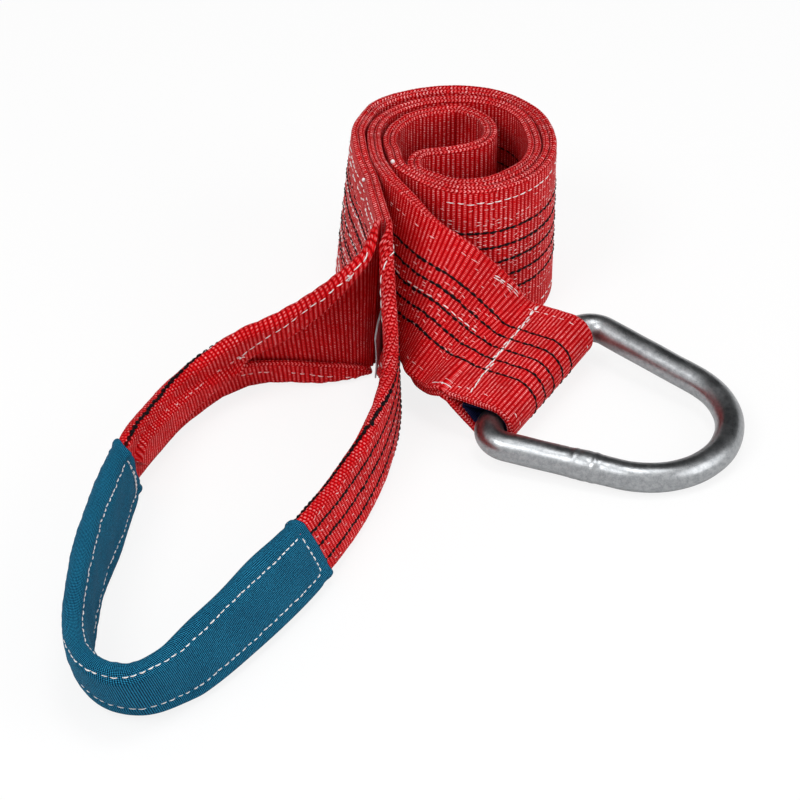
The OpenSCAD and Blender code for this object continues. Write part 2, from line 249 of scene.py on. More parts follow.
@dataclass
class Batch:
    """A number of equal tubes of points, by tube, row and column."""

    points: Array
    along: Array
    left: Array
    right: Array
    capped: bool = True
    finish: int = 0

    def faces(self, first: int) -> list[tuple[Array, Array]]:
        """List the faces: those of the walls, then those of the ends.

        Args:
            first: number of the first point in the mesh.

        Returns:
            The point numbers of each face's corners, with their cloth distances.
        """
        count, rows, cols = self.points.shape[:3]
        number = first + np.arange(count * rows * cols).reshape(count, rows, cols)
        after = np.roll(number, -1, axis=2)
        quads = np.stack([number[:, :-1], after[:, :-1], after[:, 1:], number[:, 1:]], -1)
        below, above, left, right = (np.broadcast_to(side, quads.shape[:3]) for side in (
            self.along[:, :-1, None], self.along[:, 1:, None], self.left, self.right))
        cloth = np.stack([np.stack(corner, -1) for corner in (
            (below, left), (below, right), (above, right), (above, left))], -2)
        walls = [(quads.reshape(-1, 4), cloth.reshape(-1, 2))]
        if not self.capped:
            return walls
        ends = np.concatenate([number[:, 0, ::-1], number[:, -1]])
        level = np.concatenate([self.along[:, 0], self.along[:, -1]])[:, None]
        spread = np.concatenate([np.broadcast_to(side, (count, cols))
                                 for side in (self.left[::-1], self.left)])
        cloth = np.stack([np.broadcast_to(level, ends.shape), spread], -1)
        return walls + [(ends, cloth.reshape(-1, 2))]


def grid(points: Array, along: Array,
         across: Array | tuple[Array, Array], capped: bool = True) -> Batch:
    """Make a batch of one tube.

    Args:
        points: points by row and column.
        along: cloth distance of each row.
        across: cloth distance of each column, or of both sides of each column of faces.
        capped: whether the two ends are closed.

    Returns:
        The batch.
    """
    if not isinstance(across, tuple):
        across = across, np.concatenate([across[1:], [2 * across[-1] - across[-2]]])
    return Batch(points[None], np.broadcast_to(along, (1, points.shape[0])), *across, capped)


def build(name: str, batches: list[Batch], finishes: list[Material],
          replaced: tuple[str, ...] = (),
          body: Body = Body.SLING) -> bpy.types.Object:
    """Make one piece from its batches, and let it ride on its body.

    Args:
        name: name of the piece.
        batches: its points, in millimetres.
        finishes: its materials.
        replaced: the solids it stands for.
        body: the body it moves with.

    Returns:
        The piece.
    """
    points, corners, cloth, sizes, picks = [], [], [], [], []
    first = 0
    for batch in batches:
        points.append(batch.points.reshape(-1, 3))
        for faces, distances in batch.faces(first):
            corners.append(faces.ravel())
            cloth.append(distances)
            sizes.append(np.full(len(faces), faces.shape[1]))
            picks.append(np.full(len(faces), batch.finish))
        first += len(points[-1])
    co, loop, size = np.vstack(points) * MM, np.concatenate(corners), np.concatenate(sizes)
    mesh = bpy.data.meshes.new(name)
    mesh.vertices.add(len(co))
    mesh.loops.add(len(loop))
    mesh.polygons.add(len(size))
    for part, what, values, kind in (
            (mesh.vertices, "co", co, np.float32),
            (mesh.loops, "vertex_index", loop, np.int32),
            (mesh.polygons, "loop_start", np.concatenate([[0], np.cumsum(size)[:-1]]), np.int32),
            (mesh.polygons, "loop_total", size, np.int32),
            (mesh.polygons, "material_index", np.concatenate(picks), np.int32)):
        part.foreach_set(what, values.astype(kind).ravel())
    mesh.update(calc_edges=True)
    mesh.validate()
    layer = mesh.uv_layers.new(name="Cloth")
    layer.data.foreach_set("uv", np.vstack(cloth).astype(np.float32).ravel())
    mesh.polygons.foreach_set("use_smooth", np.ones(len(size), bool))
    for finish in finishes:
        mesh.materials.append(finish)
    piece = bpy.data.objects.new(name, mesh)
    bpy.context.scene.collection.objects.link(piece)
    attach(piece, body.value)
    if replaced:
        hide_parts(*replaced)
    LOG.info("%s: %d faces, lowest point %.2f mm", name, len(size), co[:, 2].min() / MM)
    return piece


def tubes(centre: Array, outward: Array, radius: Array, flat: float,
          sides: int = 6, finish: int = 0) -> Batch:
    """Make many short threads at once.

    Args:
        centre: points by thread and by step along it.
        outward: directions away from the cloth at the same points.
        radius: half the width of the thread there.
        flat: height of the thread as a share of its width.
        sides: corners of the thread's section.
        finish: which of the piece's finishes they take.

    Returns:
        The batch.
    """
    way = unit(np.gradient(centre, axis=1))
    side = unit(np.cross(way, outward))
    up = np.cross(side, way)
    turn = 2 * math.pi * np.arange(sides) / sides
    ring = (side[:, :, None] * np.cos(turn)[:, None]
            + up[:, :, None] * (flat * np.sin(turn))[:, None])
    points = centre[:, :, None] + ring * np.asarray(radius)[..., None, None]
    across = turn / (2 * math.pi)
    return Batch(points, travelled(centre), across, across + 1 / sides, True, finish)


@dataclass(frozen=True)
class Sewing:
    """One row of stitches on a cloth."""

    pitch: float
    length: float
    radius: float
    sunk: float
    wander: float
    missing: float
    flat: float = 0.8
    seed: int = 1
    finish: int = 0
    spread: float = 0.12
    shortest: float = 0.78
    longest: float = 1.12
    uneven: float = 0.15
    steps: int = 7

    def along(self, route: "Route | FoldedRoute", path: list[Pair], off: Level,
              width: float = WEB_W) -> Batch:
        """Sew along a line drawn on the cloth.

        Args:
            route: the cloth.
            path: distances along and from the lower edge that the row passes through.
            off: the surface's distance off the middle one, or a function that finds it.
            width: width of the cloth.

        Returns:
            The stitches.
        """
        rng = np.random.default_rng(self.seed)
        line = np.asarray(path, float)
        run = travelled(line)
        first, least, across_from, roundness, thin = 0.2, 0.3, 5, 0.6, 0.6
        starts = np.arange(first, max(run[-1] - self.length, least), self.pitch)
        starts = starts + rng.uniform(-self.spread, self.spread, len(starts)) * self.pitch
        starts = starts[rng.uniform(size=len(starts)) >= self.missing]
        lengths = self.length * rng.uniform(self.shortest, self.longest, len(starts))
        t = np.linspace(0, 1, self.steps)
        d = starts[:, None] + lengths[:, None] * t
        s, v = np.interp(d, run, line[:, 0]), np.interp(d, run, line[:, 1])
        lean = rng.normal(0, self.wander, (len(starts), 2))
        across_the_web = abs(line[-1, 0] - line[0, 0]) < across_from
        if across_the_web:
            s = s + lean[:, :1] + lean[:, 1:] * (t - 0.5)
        else:
            v = v + lean[:, :1] + lean[:, 1:] * (t - 0.5)
        share = v / width
        level = off(s, v) if callable(off) else np.full_like(s, off)
        face = np.sign(level.mean()) if level.size else 1
        arch = np.sin(math.pi * t) ** roundness
        fullness = rng.uniform(1 - self.uneven, 1 + self.uneven, (len(starts), 1))
        thick = self.radius * fullness * (thin + (1 - thin) * arch)
        lift = thick * self.flat * (arch * (2 - 2 * self.sunk) - 1)
        centre = route.place(s, share, level + face * lift)
        return tubes(centre, route.outward(s, share) * face, thick, self.flat, finish=self.finish)


# ---------------------------------------------------------------- finishes

def _operator(kind: str, swapped: bool = False) -> Callable[..., "Signal"]:
    """Make an operator of Signal from a kind of sum, with its two sides swapped or not.

    Args:
        kind: the sum's kind.
        swapped: whether its two sides are swapped.

    Returns:
        The operator.
    """
    def work(first: "Signal", second: "Value" = None) -> "Signal":
        """Put the operator's sum into the node tree."""
        pair = (second, first) if swapped else (first, second)
        return first.tree.math(kind, *pair)
    return work


class Signal:
    """A value that a node tree works out at each point, used as in a formula."""

    __add__ = __radd__ = _operator("ADD")
    __mul__ = __rmul__ = _operator("MULTIPLY")
    __sub__, __rsub__ = _operator("SUBTRACT"), _operator("SUBTRACT", swapped=True)
    __truediv__, __pow__ = _operator("DIVIDE"), _operator("POWER")
    __gt__, __lt__ = _operator("GREATER_THAN"), _operator("LESS_THAN")
    __or__, __abs__ = _operator("MAXIMUM"), _operator("ABSOLUTE")
    folded = _operator("PINGPONG")

    def __init__(self, tree: "Nodes", socket: Socket) -> None:
        """Hold the socket that gives the value."""
        self.tree, self.socket = tree, socket

    def arches(self) -> "Signal":
        """A row of round arches of height 1, one for each whole number."""
        return abs(self.tree.math("SINE", self * math.pi))

    def step(self, start: float, end: float) -> "Signal":
        """Smooth step from 0 at start to 1 at end.

        Args:
            start: value at which the step starts.
            end: value at which it is done.

        Returns:
            The step.
        """
        node = self.tree.add("MapRange", interpolation_type="SMOOTHSTEP")
        for name, value in (("Value", self), ("From Min", start), ("From Max", end)):
            self.tree.put(node.inputs[name], value)
        return Signal(self.tree, node.outputs["Result"])


Value = float | Signal | None
Paint = Colour | Socket


class Nodes:
    """A node tree that is put together value by value."""

    def __init__(self, tree: bpy.types.NodeTree) -> None:
        """Take the node tree of a material or of the room."""
        self.nodes, self.links = tree.nodes, tree.links

    def add(self, kind: str, **settings: object) -> Node:
        """Add a node of a kind, with its settings.

        Args:
            kind: the node's kind.
            settings: its settings by name.

        Returns:
            The node.
        """
        node = self.nodes.new("ShaderNode" + kind)
        for name, value in settings.items():
            setattr(node, name, value)
        return node

    def put(self, socket: Socket, value: Value | Paint) -> None:
        """Give a socket a number, a colour, or a link from another node.

        Args:
            socket: the socket.
            value: what it gets.
        """
        if isinstance(value, Signal):
            value = value.socket
        if isinstance(value, Socket):
            self.links.new(value, socket)
        elif value is not None:
            socket.default_value = (*value, 1) if isinstance(value, tuple) else value

    def math(self, kind: str, *values: Value, clamp: bool = False) -> Signal:
        """Work out one sum from its values.

        Args:
            kind: the sum's kind.
            values: up to three values.
            clamp: whether the result is kept between 0 and 1.

        Returns:
            The result.
        """
        node = self.add("Math", operation=kind, use_clamp=clamp)
        for socket, value in zip(node.inputs, values):
            self.put(socket, value)
        return Signal(self, node.outputs[0])

    def mix(self, share: Value, a: Paint, b: Paint, kind: str = "MIX") -> Socket:
        """Mix two colours.

        Args:
            share: share of the second colour.
            a: first colour.
            b: second colour.
            kind: how they are mixed.

        Returns:
            The mixed colour.
        """
        node = self.add("Mix", data_type="RGBA", blend_type=kind)
        for number, value in ((0, share), (6, a), (7, b)):
            self.put(node.inputs[number], value)
        return node.outputs[2]

    def split(self, vector: Socket) -> list[Signal]:
        """The three parts of a vector.

        Args:
            vector: the vector.

        Returns:
            The parts.
        """
        node = self.add("SeparateXYZ")
        self.links.new(vector, node.inputs[0])
        return [Signal(self, output) for output in node.outputs]

    def place(self, kind: str = "Object") -> Socket:
        """Place on the piece itself, in metres, or another kind of place."""
        return self.add("TexCoord").outputs[kind]

    def seen(self) -> list[Signal]:
        """Whether a ray is the camera's, a mirrored one, or one that went through glass."""
        rays, kinds = self.add("LightPath").outputs, ("Camera", "Glossy", "Transmission")
        return [Signal(self, rays[f"Is {kind} Ray"]) for kind in kinds]

    def blend(self, share: Signal, first: Node, second: Node, end: Socket) -> None:
        """Mix two surfaces into the tree's end.

        Args:
            share: share of the second surface.
            first: first surface.
            second: second surface.
            end: socket that takes the mix.
        """
        node = self.add("MixShader")
        self.put(node.inputs[0], share)
        for socket, surface in zip(list(node.inputs)[1:], (first, second)):
            self.links.new(surface.outputs[0], socket)
        self.links.new(node.outputs[0], end)


class Shader(Nodes):
    """A material that is put together node by node."""

    def __init__(self, name: str) -> None:
        """Start a material that holds only its surface shader.

        Args:
            name: the material's name.
        """
        self.material = bpy.data.materials.new(name)
        self.material.use_nodes = True
        super().__init__(self.material.node_tree)
        self.surface = self.nodes["Principled BSDF"]

    def cloth(self, along: float = 1, across: float = 1) -> Socket:
        """Cloth coordinates in millimetres, scaled along and across.

        Args:
            along: scale along the cloth.
            across: scale across it.

        Returns:
            The coordinates.
        """
        node = self.add("Mapping")
        node.inputs["Scale"].default_value = (along, across, 1)
        self.links.new(self.add("UVMap", uv_map="Cloth").outputs[0], node.inputs["Vector"])
        return node.outputs[0]

    def noise(self, vector: Socket, scale: float, detail: float = 2) -> Signal:
        """Cloudy noise between about 0.25 and 0.75.

        Args:
            vector: where the noise is read.
            scale: how fine it is.
            detail: how many finer layers it has.

        Returns:
            The noise.
        """
        node = self.add("TexNoise")
        for name, value in (("Vector", vector), ("Scale", scale), ("Detail", detail)):
            self.put(node.inputs[name], value)
        return Signal(self, node.outputs["Fac"])

    def finish(self, colour: Paint, rough: Value, height: Value = None, relief: float = 0.0002,
               strength: float = 0.6, **uniform: float) -> Material:
        """Set the surface.

        Args:
            colour: its colour, or the socket that works it out.
            rough: its roughness.
            height: relief between 0 and 1.
            relief: depth of that relief in metres.
            strength: how strongly the relief shows.
            uniform: values that are the same all over, by socket name with underscores.

        Returns:
            The finished material.
        """
        self.put(self.surface.inputs["Base Color"], colour)
        self.put(self.surface.inputs["Roughness"], rough)
        for name, value in uniform.items():
            self.surface.inputs[name.replace("_", " ")].default_value = value
        if height is not None:
            bump = self.add("Bump")
            for name, value in (("Distance", relief), ("Strength", strength), ("Height", height)):
                self.put(bump.inputs[name], value)
            self.links.new(bump.outputs[0], self.surface.inputs["Normal"])
        return self.material


@dataclass(frozen=True)
class WebbingFinish:
    """Ribbed polyester webbing with black marking stripes, a knitted edge, painted highlights and
    painted shade.

    The distance across goes on past the web's width on the upper rim and is below 0 on the lower
    one. On an inner face it is 2 or 4 times BACK less the outer face's.
    """

    name: str = "red_webbing"
    # Red of the lit ridges and of the grooves, whose darker tone is painted shade
    ridge: Colour = (0.66, 0.0025, 0.006)
    groove: Colour = (0.21, 0.0001, 0.0003)
    # Colour of the painted highlight laid on the yarns' crowns
    pale: Colour = (1.0, 0.56, 0.56)
    soiled: Colour = (0.84, 0.78, 0.78)
    stripe: Colour = (0.004, 0.004, 0.005)
    # Strength of the painted highlight: shine overall, less by calmer past calm_from, rim_shine on
    # the knitted rims
    shine: float = 1.0
    calmer: float = 0.28
    calm_from: float = 525.0
    rim_shine: float = 0.80
    yarn: float = 0.74
    stripes: float = 14.5
    plain_from: float = 250.0
    ink: float = 0.94
    bead_pitch: float = 3.3
    bead_least: float = 0.14
    bead_swell: float = 0.34
    knit_pitch: float = 1.28
    knit_row: float = 1.15
    turned_from: float = NEVER
    turned_v: float = 43.5
    turned_rise: float = 15.5
    turned_run: float = 68.0
    turned_fade: Pair = (3.4, 2.4)
    turned_before: float = 14.0

    def _turned(self, m: Shader, s: Signal, fold: Signal) -> Signal:
        """Where the cloth turns over at its edge, past a distance, and shows slanting yarns.

        Args:
            m: the material.
            s: distances along the cloth.
            fold: mirrored distances across.

        Returns:
            1 there, and 0 elsewhere.
        """
        run = m.math("DIVIDE", s - self.turned_from, self.turned_run, clamp=True)
        line = run * run * self.turned_rise + (self.turned_v - WEB_W / 2)
        gap = abs(abs(fold - WEB_W / 2) - line)
        past = s.step(self.turned_from - self.turned_before, self.turned_from)
        return gap.step(*self.turned_fade) * past

    def _striped(self, m: Shader, colour: Paint, s: Signal, v: Signal, fold: Signal) -> Paint:
        """Draw the black stripes, each a row of beads.

        Args:
            m: the material.
            colour: colour of the bare webbing.
            s: distances along the cloth.
            v: distances across it.
            fold: mirrored distances across.

        Returns:
            The colour with stripes.
        """
        off = fold - WEB_W / 2
        bead = (s * (1 / self.bead_pitch)).arches() ** 2.0
        reach = bead * self.bead_swell + self.bead_least
        line = 1 - (off.folded(STRIPE_PITCH / 2) / reach).step(0.75, 1.25)
        line = line * (abs(off) < self.stripes) * (v < self.plain_from)
        return m.mix(line * self.ink, colour, self.stripe)

    def make(self) -> Material:
        """Make the material.

        Returns:
            The material.
        """
        m = Shader(self.name)
        s, v, _ = m.split(m.cloth())
        fold = v.folded(BACK)
        rim = (v > WEB_W) * (v < BACK) | (v < 0)
        if self.turned_from < NEVER:
            rim = rim | self._turned(m, s, fold)
        face = 1 - rim
        # Woven face: ribs, in which each second yarn lies half a step further
        cell = s / RIB
        rib = cell.arches()
        yarn = (fold / self.yarn + m.math("FLOOR", cell) * 0.5).arches()
        flat = rib ** 0.55 * (yarn ** 0.6 * 0.42 + 0.58)
        # Knitted edge: rows of small slanting stitches that meet in chevrons
        row = (v * (1 / self.knit_row)).folded(0.5)
        chevron = (s / self.knit_pitch + row).arches()
        knit = chevron ** 0.75 * ((row * (1 - row)).step(0.0, 0.16) * 0.6 + 0.4)
        height = knit * rim + flat * face
        fine, wide = m.noise(m.cloth(0.9, 3.2), 1.6, 3), m.noise(m.cloth(), 0.06)
        # Painted shade: darker grooves between the ribs and knitted stitches, lighter ridges
        shade = ((fine - 0.5) * 0.5 + height).step(0.05, 0.80)
        colour = m.mix(shade, self.groove, self.ridge)
        # Painted highlight: pale glints on the yarns' crowns, stronger on some ribs than on
        # others, weaker past calm_from
        crown = knit ** 2.4 * (rim * self.rim_shine) + rib ** 2.2 * yarn ** 1.4 * face
        dots = m.noise(m.cloth(0.7, 0.16), 1.0, 3).step(0.36, 0.66) * 0.72 + 0.28
        patchy = m.noise(m.cloth(1.0, 1.6), 0.9).step(0.30, 0.62)
        calm = s.step(self.calm_from, self.calm_from + 30) * (-self.calmer * self.shine)
        painted_glint = crown.step(0.25, 0.90) * dots * patchy * (calm + self.shine)
        colour = m.mix(painted_glint, colour, self.pale)
        colour = m.mix(wide.step(0.35, 0.7), colour, m.mix(1.0, colour, self.soiled, "MULTIPLY"))
        return m.finish(self._striped(m, colour, s, v, fold), height * -0.16 + 0.66,
                        height + fine * 0.5, 0.00026, 0.8, Specular_IOR_Level=0.03)


@dataclass(frozen=True)
class TwillFinish:
    """Close plain cloth with a fine lattice of yarns."""

    name: str
    light: Colour
    dark: Colour
    grain: float = 0.62
    rough: float = 0.68
    sheen: float = 0.0
    gloss: float = 0.03
    soiled: Colour = (0.80, 0.83, 0.86)

    def make(self) -> Material:
        """Make the material.

        Returns:
            The material.
        """
        m = Shader(self.name)
        warp, weft = (m.math("SINE", way * (2 * math.pi / self.grain))
                      for way in m.split(m.cloth())[:2])
        weave = (warp + weft) * 0.30 + 0.5
        fine, wide = m.noise(m.cloth(), 1.4, 4), m.noise(m.cloth(), 0.07, 3)
        share = weave * 0.9 + (fine * 0.5 - 0.22)
        colour = m.mix(share.step(0.33, 0.82), self.dark, self.light)
        colour = m.mix(wide.step(0.3, 0.75), colour, m.mix(1.0, colour, self.soiled, "MULTIPLY"))
        return m.finish(colour, self.rough, weave + fine * 0.8, 0.00020, 0.7,
                        Specular_IOR_Level=self.gloss, Sheen_Weight=self.sheen,
                        Sheen_Roughness=0.35)


@dataclass(frozen=True)
class ThreadFinish:
    """Twisted sewing thread."""

    name: str
    light: Colour
    dark: Colour
    gloss: float = 0.3
    lay: float = 0.5

    def make(self) -> Material:
        """Make the material.

        Returns:
            The material.
        """
        m = Shader(self.name)
        s, v, _ = m.split(m.cloth())
        height = m.math("SINE", s * (2 * math.pi / self.lay) + v * (2 * math.pi)) * 0.5 + 0.5
        soil = m.noise(m.place(), 900).step(0.35, 0.7)
        colour = m.mix(height * 0.4 + soil * 0.6, self.dark, self.light)
        return m.finish(colour, 0.55, height, 0.00008, 0.6, Specular_IOR_Level=self.gloss)


@dataclass(frozen=True)
class ZincFinish:
    """Zinc-plated round steel, satin and slightly mottled."""

    name: str = "zinc_steel"
    light: Colour = (0.38, 0.39, 0.40)
    dark: Colour = (0.23, 0.24, 0.25)

    def make(self) -> Material:
        """Make the material.

        Returns:
            The material.
        """
        m = Shader(self.name)
        patch, grain, cloud = (m.noise(m.place(), scale, detail)
                               for scale, detail in ((620, 4), (2600, 3), (120, 2)))
        colour = m.mix((patch * 0.6 + grain * 0.45).step(0.30, 0.72), self.dark, self.light)
        rough = cloud.step(0.3, 0.7) * 0.10 + (grain * 0.16 + 0.22)
        return m.finish(colour, rough, patch * 0.8 + grain * 0.35, 0.00016, 0.26, Metallic=1.0)


# ---------------------------------------------------------------- webbing

@dataclass(frozen=True)
class PlySection:
    """Section of one ply: two flat faces and two round knitted edges."""

    half: float = 1.17
    rim: float = 0.95
    face_cols: int = 15
    rim_cols: int = 7
    rim_mark: float = 0.19
    face_relief: float = 0.085
    rim_relief: float = 0.08
    uneven: float = 0.03
    wavy: float = 0.10
    shift: float = 2 * BACK

    def outline(self) -> dict[str, Array]:
        """List the section's columns, from the outer face's lower edge round to the lower rim.

        Returns:
            By name: place across and off the middle (v, e), outward direction (nv, ne), lean of
            the ribs, 1 on a rim, and cloth distances at both sides of a face (left, right).
        """
        face = np.linspace(self.rim, WEB_W - self.rim, self.face_cols)
        angle = np.radians(np.linspace(90, -90, self.rim_cols + 2)[1:-1])
        c, s = np.cos(angle), np.sin(angle)
        flat, none, curl = np.ones_like(face), np.zeros_like(face), np.ones_like(angle)
        lean = 1 - np.abs(angle) / (math.pi / 2)
        girth = (self.rim_cols + 1) * np.hypot(self.rim, self.half) * self.rim_mark
        marks = girth * np.arange(self.rim_cols + 2) / (self.rim_cols + 1)
        back = self.shift - face[::-1]
        columns = {
            "v": (face, WEB_W - self.rim + self.rim * c, face[::-1], self.rim - self.rim * c),
            "e": (self.half * flat, self.half * s, -self.half * flat, -self.half * s),
            "nv": (none, c, none, -c),
            "ne": (flat, s, -flat, -s),
            "lean": (none, lean, none, lean),
            "rim": (none, curl, none, curl),
            "left": (face[:-1], WEB_W + marks[:-1], back[:-1], marks[:-1] - girth),
            "right": (face[1:], WEB_W + marks[1:], back[1:], marks[1:] - girth),
        }
        return {name: np.concatenate(parts) for name, parts in columns.items()}

    def sweep(self, route: "Route | FoldedRoute", s: Array, middle: float, marks: Array,
              seed: int = 1, butt: float = 0.0) -> Batch:
        """Sweep the section along a route.

        Args:
            route: the way of the webbing.
            s: distances of its rows.
            middle: distance of the ply's middle off the route's middle surface.
            marks: distances of the rows in the weave, which is closer where the web is packed.
            seed: which unevenness.
            butt: how much further the two cut ends reach.

        Returns:
            The ply.
        """
        o = self.outline()
        cell = marks[:, None] / RIB + 0.5 * o["lean"]
        relief = np.where(o["rim"] > 0, self.rim_relief, self.face_relief)
        bump = relief * (np.abs(np.sin(math.pi * cell)) ** 0.8 - 0.6)
        bump = bump + self.uneven * ripple(s[:, None], o["v"][None], seed, 5)
        waves = self.wavy * ripple(s, 0 * s, seed + 5, 26)[:, None]
        v = o["v"] + o["nv"] * bump + waves * o["rim"] * np.sign(o["nv"])
        points = route.place(s[:, None], v / WEB_W, middle + o["e"] + o["ne"] * bump)
        if butt:
            for end, inner in ((0, 4), (-1, -5)):
                points[end] += unit(points[end] - points[inner]) * butt
        return grid(points, marks, (o["left"], o["right"]))


@dataclass
class FoldedRoute:
    """A webbing whose two edges are folded in behind its middle."""

    base: Route
    short_from: float
    short_to: float
    panel_off: float = 1.28
    bend: float = 1.42
    edge_room: float = 1.2
    step: float = 2.5
    short_flap: float = 8.0
    pressed: float = 0.24
    open_room: Pair = (5.5, 2.0)
    opening: float = 0.85

    def _fold(self, s: Array, q: Array) -> tuple[Array, ...]:
        """Fold the flat cloth.

        Args:
            s: distances along the webbing.
            q: distances across the cloth from its middle line.

        Returns:
            Place across and off the panel, and the outward direction's two parts.
        """
        w = self.base.span(s)
        before, after, lap_from, lap_to = 8, 2, 3.4, 0.4
        tucked = (ease(s, self.short_from - before, self.short_from + after)
                  * (1 - ease(s, self.short_to - after, self.short_to + before)))
        spare = np.maximum(WEB_W - w, 0) / 2
        hs = w / 2 - np.minimum(1, spare / 4) * (self.edge_room + self.bend)
        d = np.abs(q) - hs
        room = np.maximum(WEB_W / 2 - hs, 0)
        opened = ease(room, *self.open_room) * (q > 0) * (s > self.base.length / 2)
        bend = (self.bend - self.pressed * tucked) / (1 - self.opening * opened)
        angle = np.minimum(math.pi, np.minimum(np.maximum(d, 0), room) / bend)
        past = np.maximum(d - math.pi * bend, 0)
        reach = np.maximum(room - math.pi * bend, 0)
        kept = np.minimum(1, self.short_flap / np.maximum(reach, 1e-6))
        past = past * (1 - tucked * (1 - kept))
        reach = reach * (1 - tucked) + np.minimum(reach, self.short_flap) * tucked
        turning = hs + bend * np.sin(angle)
        p = np.where(d <= 0, np.abs(q), np.where(past > 0, hs - past, turning))
        o = self.panel_off - self.pressed * tucked - bend * (1 - np.cos(angle))
        over = ease(p, -hs + reach + lap_from, -hs + reach + lap_to)
        o = o - np.where((q > 0) & (past > 0), self.step * over, 0)
        return p * np.sign(q), o, np.sin(angle) * np.sign(q), np.cos(angle)

    def _frame(self, s: Array, share: Array, off: Array) -> tuple[Array, ...]:
        """Place across and off the panel of points on or off the folded cloth.

        Args:
            s: distances along the cloth.
            share: shares of the cloth's width.
            off: distances off the cloth.

        Returns:
            Distances along, shares of the panel's width and distances off its middle.
        """
        s, share, off = np.broadcast_arrays(s, share, off)
        p, o, n_p, n_o = self._fold(s, (share - 0.5) * WEB_W)
        return s, 0.5 + (p + off * n_p) / self.base.span(s), o + off * n_o

    def place(self, s: Array, share: Array, off: Array) -> Array:
        """Find points of the folded cloth, as Route.place does."""
        return self.base.place(*self._frame(s, share, off))

    def outward(self, s: Array, share: Array) -> Array:
        """Directions square to the folded cloth."""
        return unit(self.place(s, share, 0.2) - self.place(s, share, 0.0))


def stations(rows: tuple[tuple[float, ...], ...] | Array, widths: Array | float,
             steps: int) -> Array:
    """Curve through rows that hold a lower point and the upper edge's direction.

    Args:
        rows: the rows, relative to the roll's axis.
        widths: the webbing's width at each row.
        steps: steps from one row to the next.

    Returns:
        Lower and upper points side by side.
    """
    table = np.asarray(rows, float)
    foot = table[:, :3] + HOME
    head = foot + table[:, 3:] * np.broadcast_to(widths, len(table))[:, None]
    return spline(np.hstack([foot, head]), steps)


@dataclass
class RingSeat:
    """Where the ring's bar lies, and the directions of the loop sewn round it."""

    middle: Array = field(default_factory=lambda: np.array([24.6, -76.6, 10.3]) + HOME)
    heading: float = -30.4
    slope: float = 3.4
    ring_dip: float = 3.6
    loop_dip: float = 20.0

    def matrix(self, dip: float) -> Array:
        """Rotation of something that hangs on the bar."""
        return turned(self.heading, "z") @ turned(self.slope, "x") @ turned(dip, "y")

    def from_seat(self, points: Array, dip: float) -> Array:
        """Take points from the bar's own frame to the sling's."""
        return points @ self.matrix(dip).T + self.middle

    def row(self, distance: float) -> list[float]:
        """Lower and upper point of the webbing at a distance from the bar.

        Args:
            distance: distance from the bar's middle line.

        Returns:
            The two points' six numbers.
        """
        turn = self.matrix(self.loop_dip)
        centre, half = self.middle - distance * turn[:, 0], turn[:, 1] * WEB_W / 2
        return [*(centre - half), *(centre + half)]


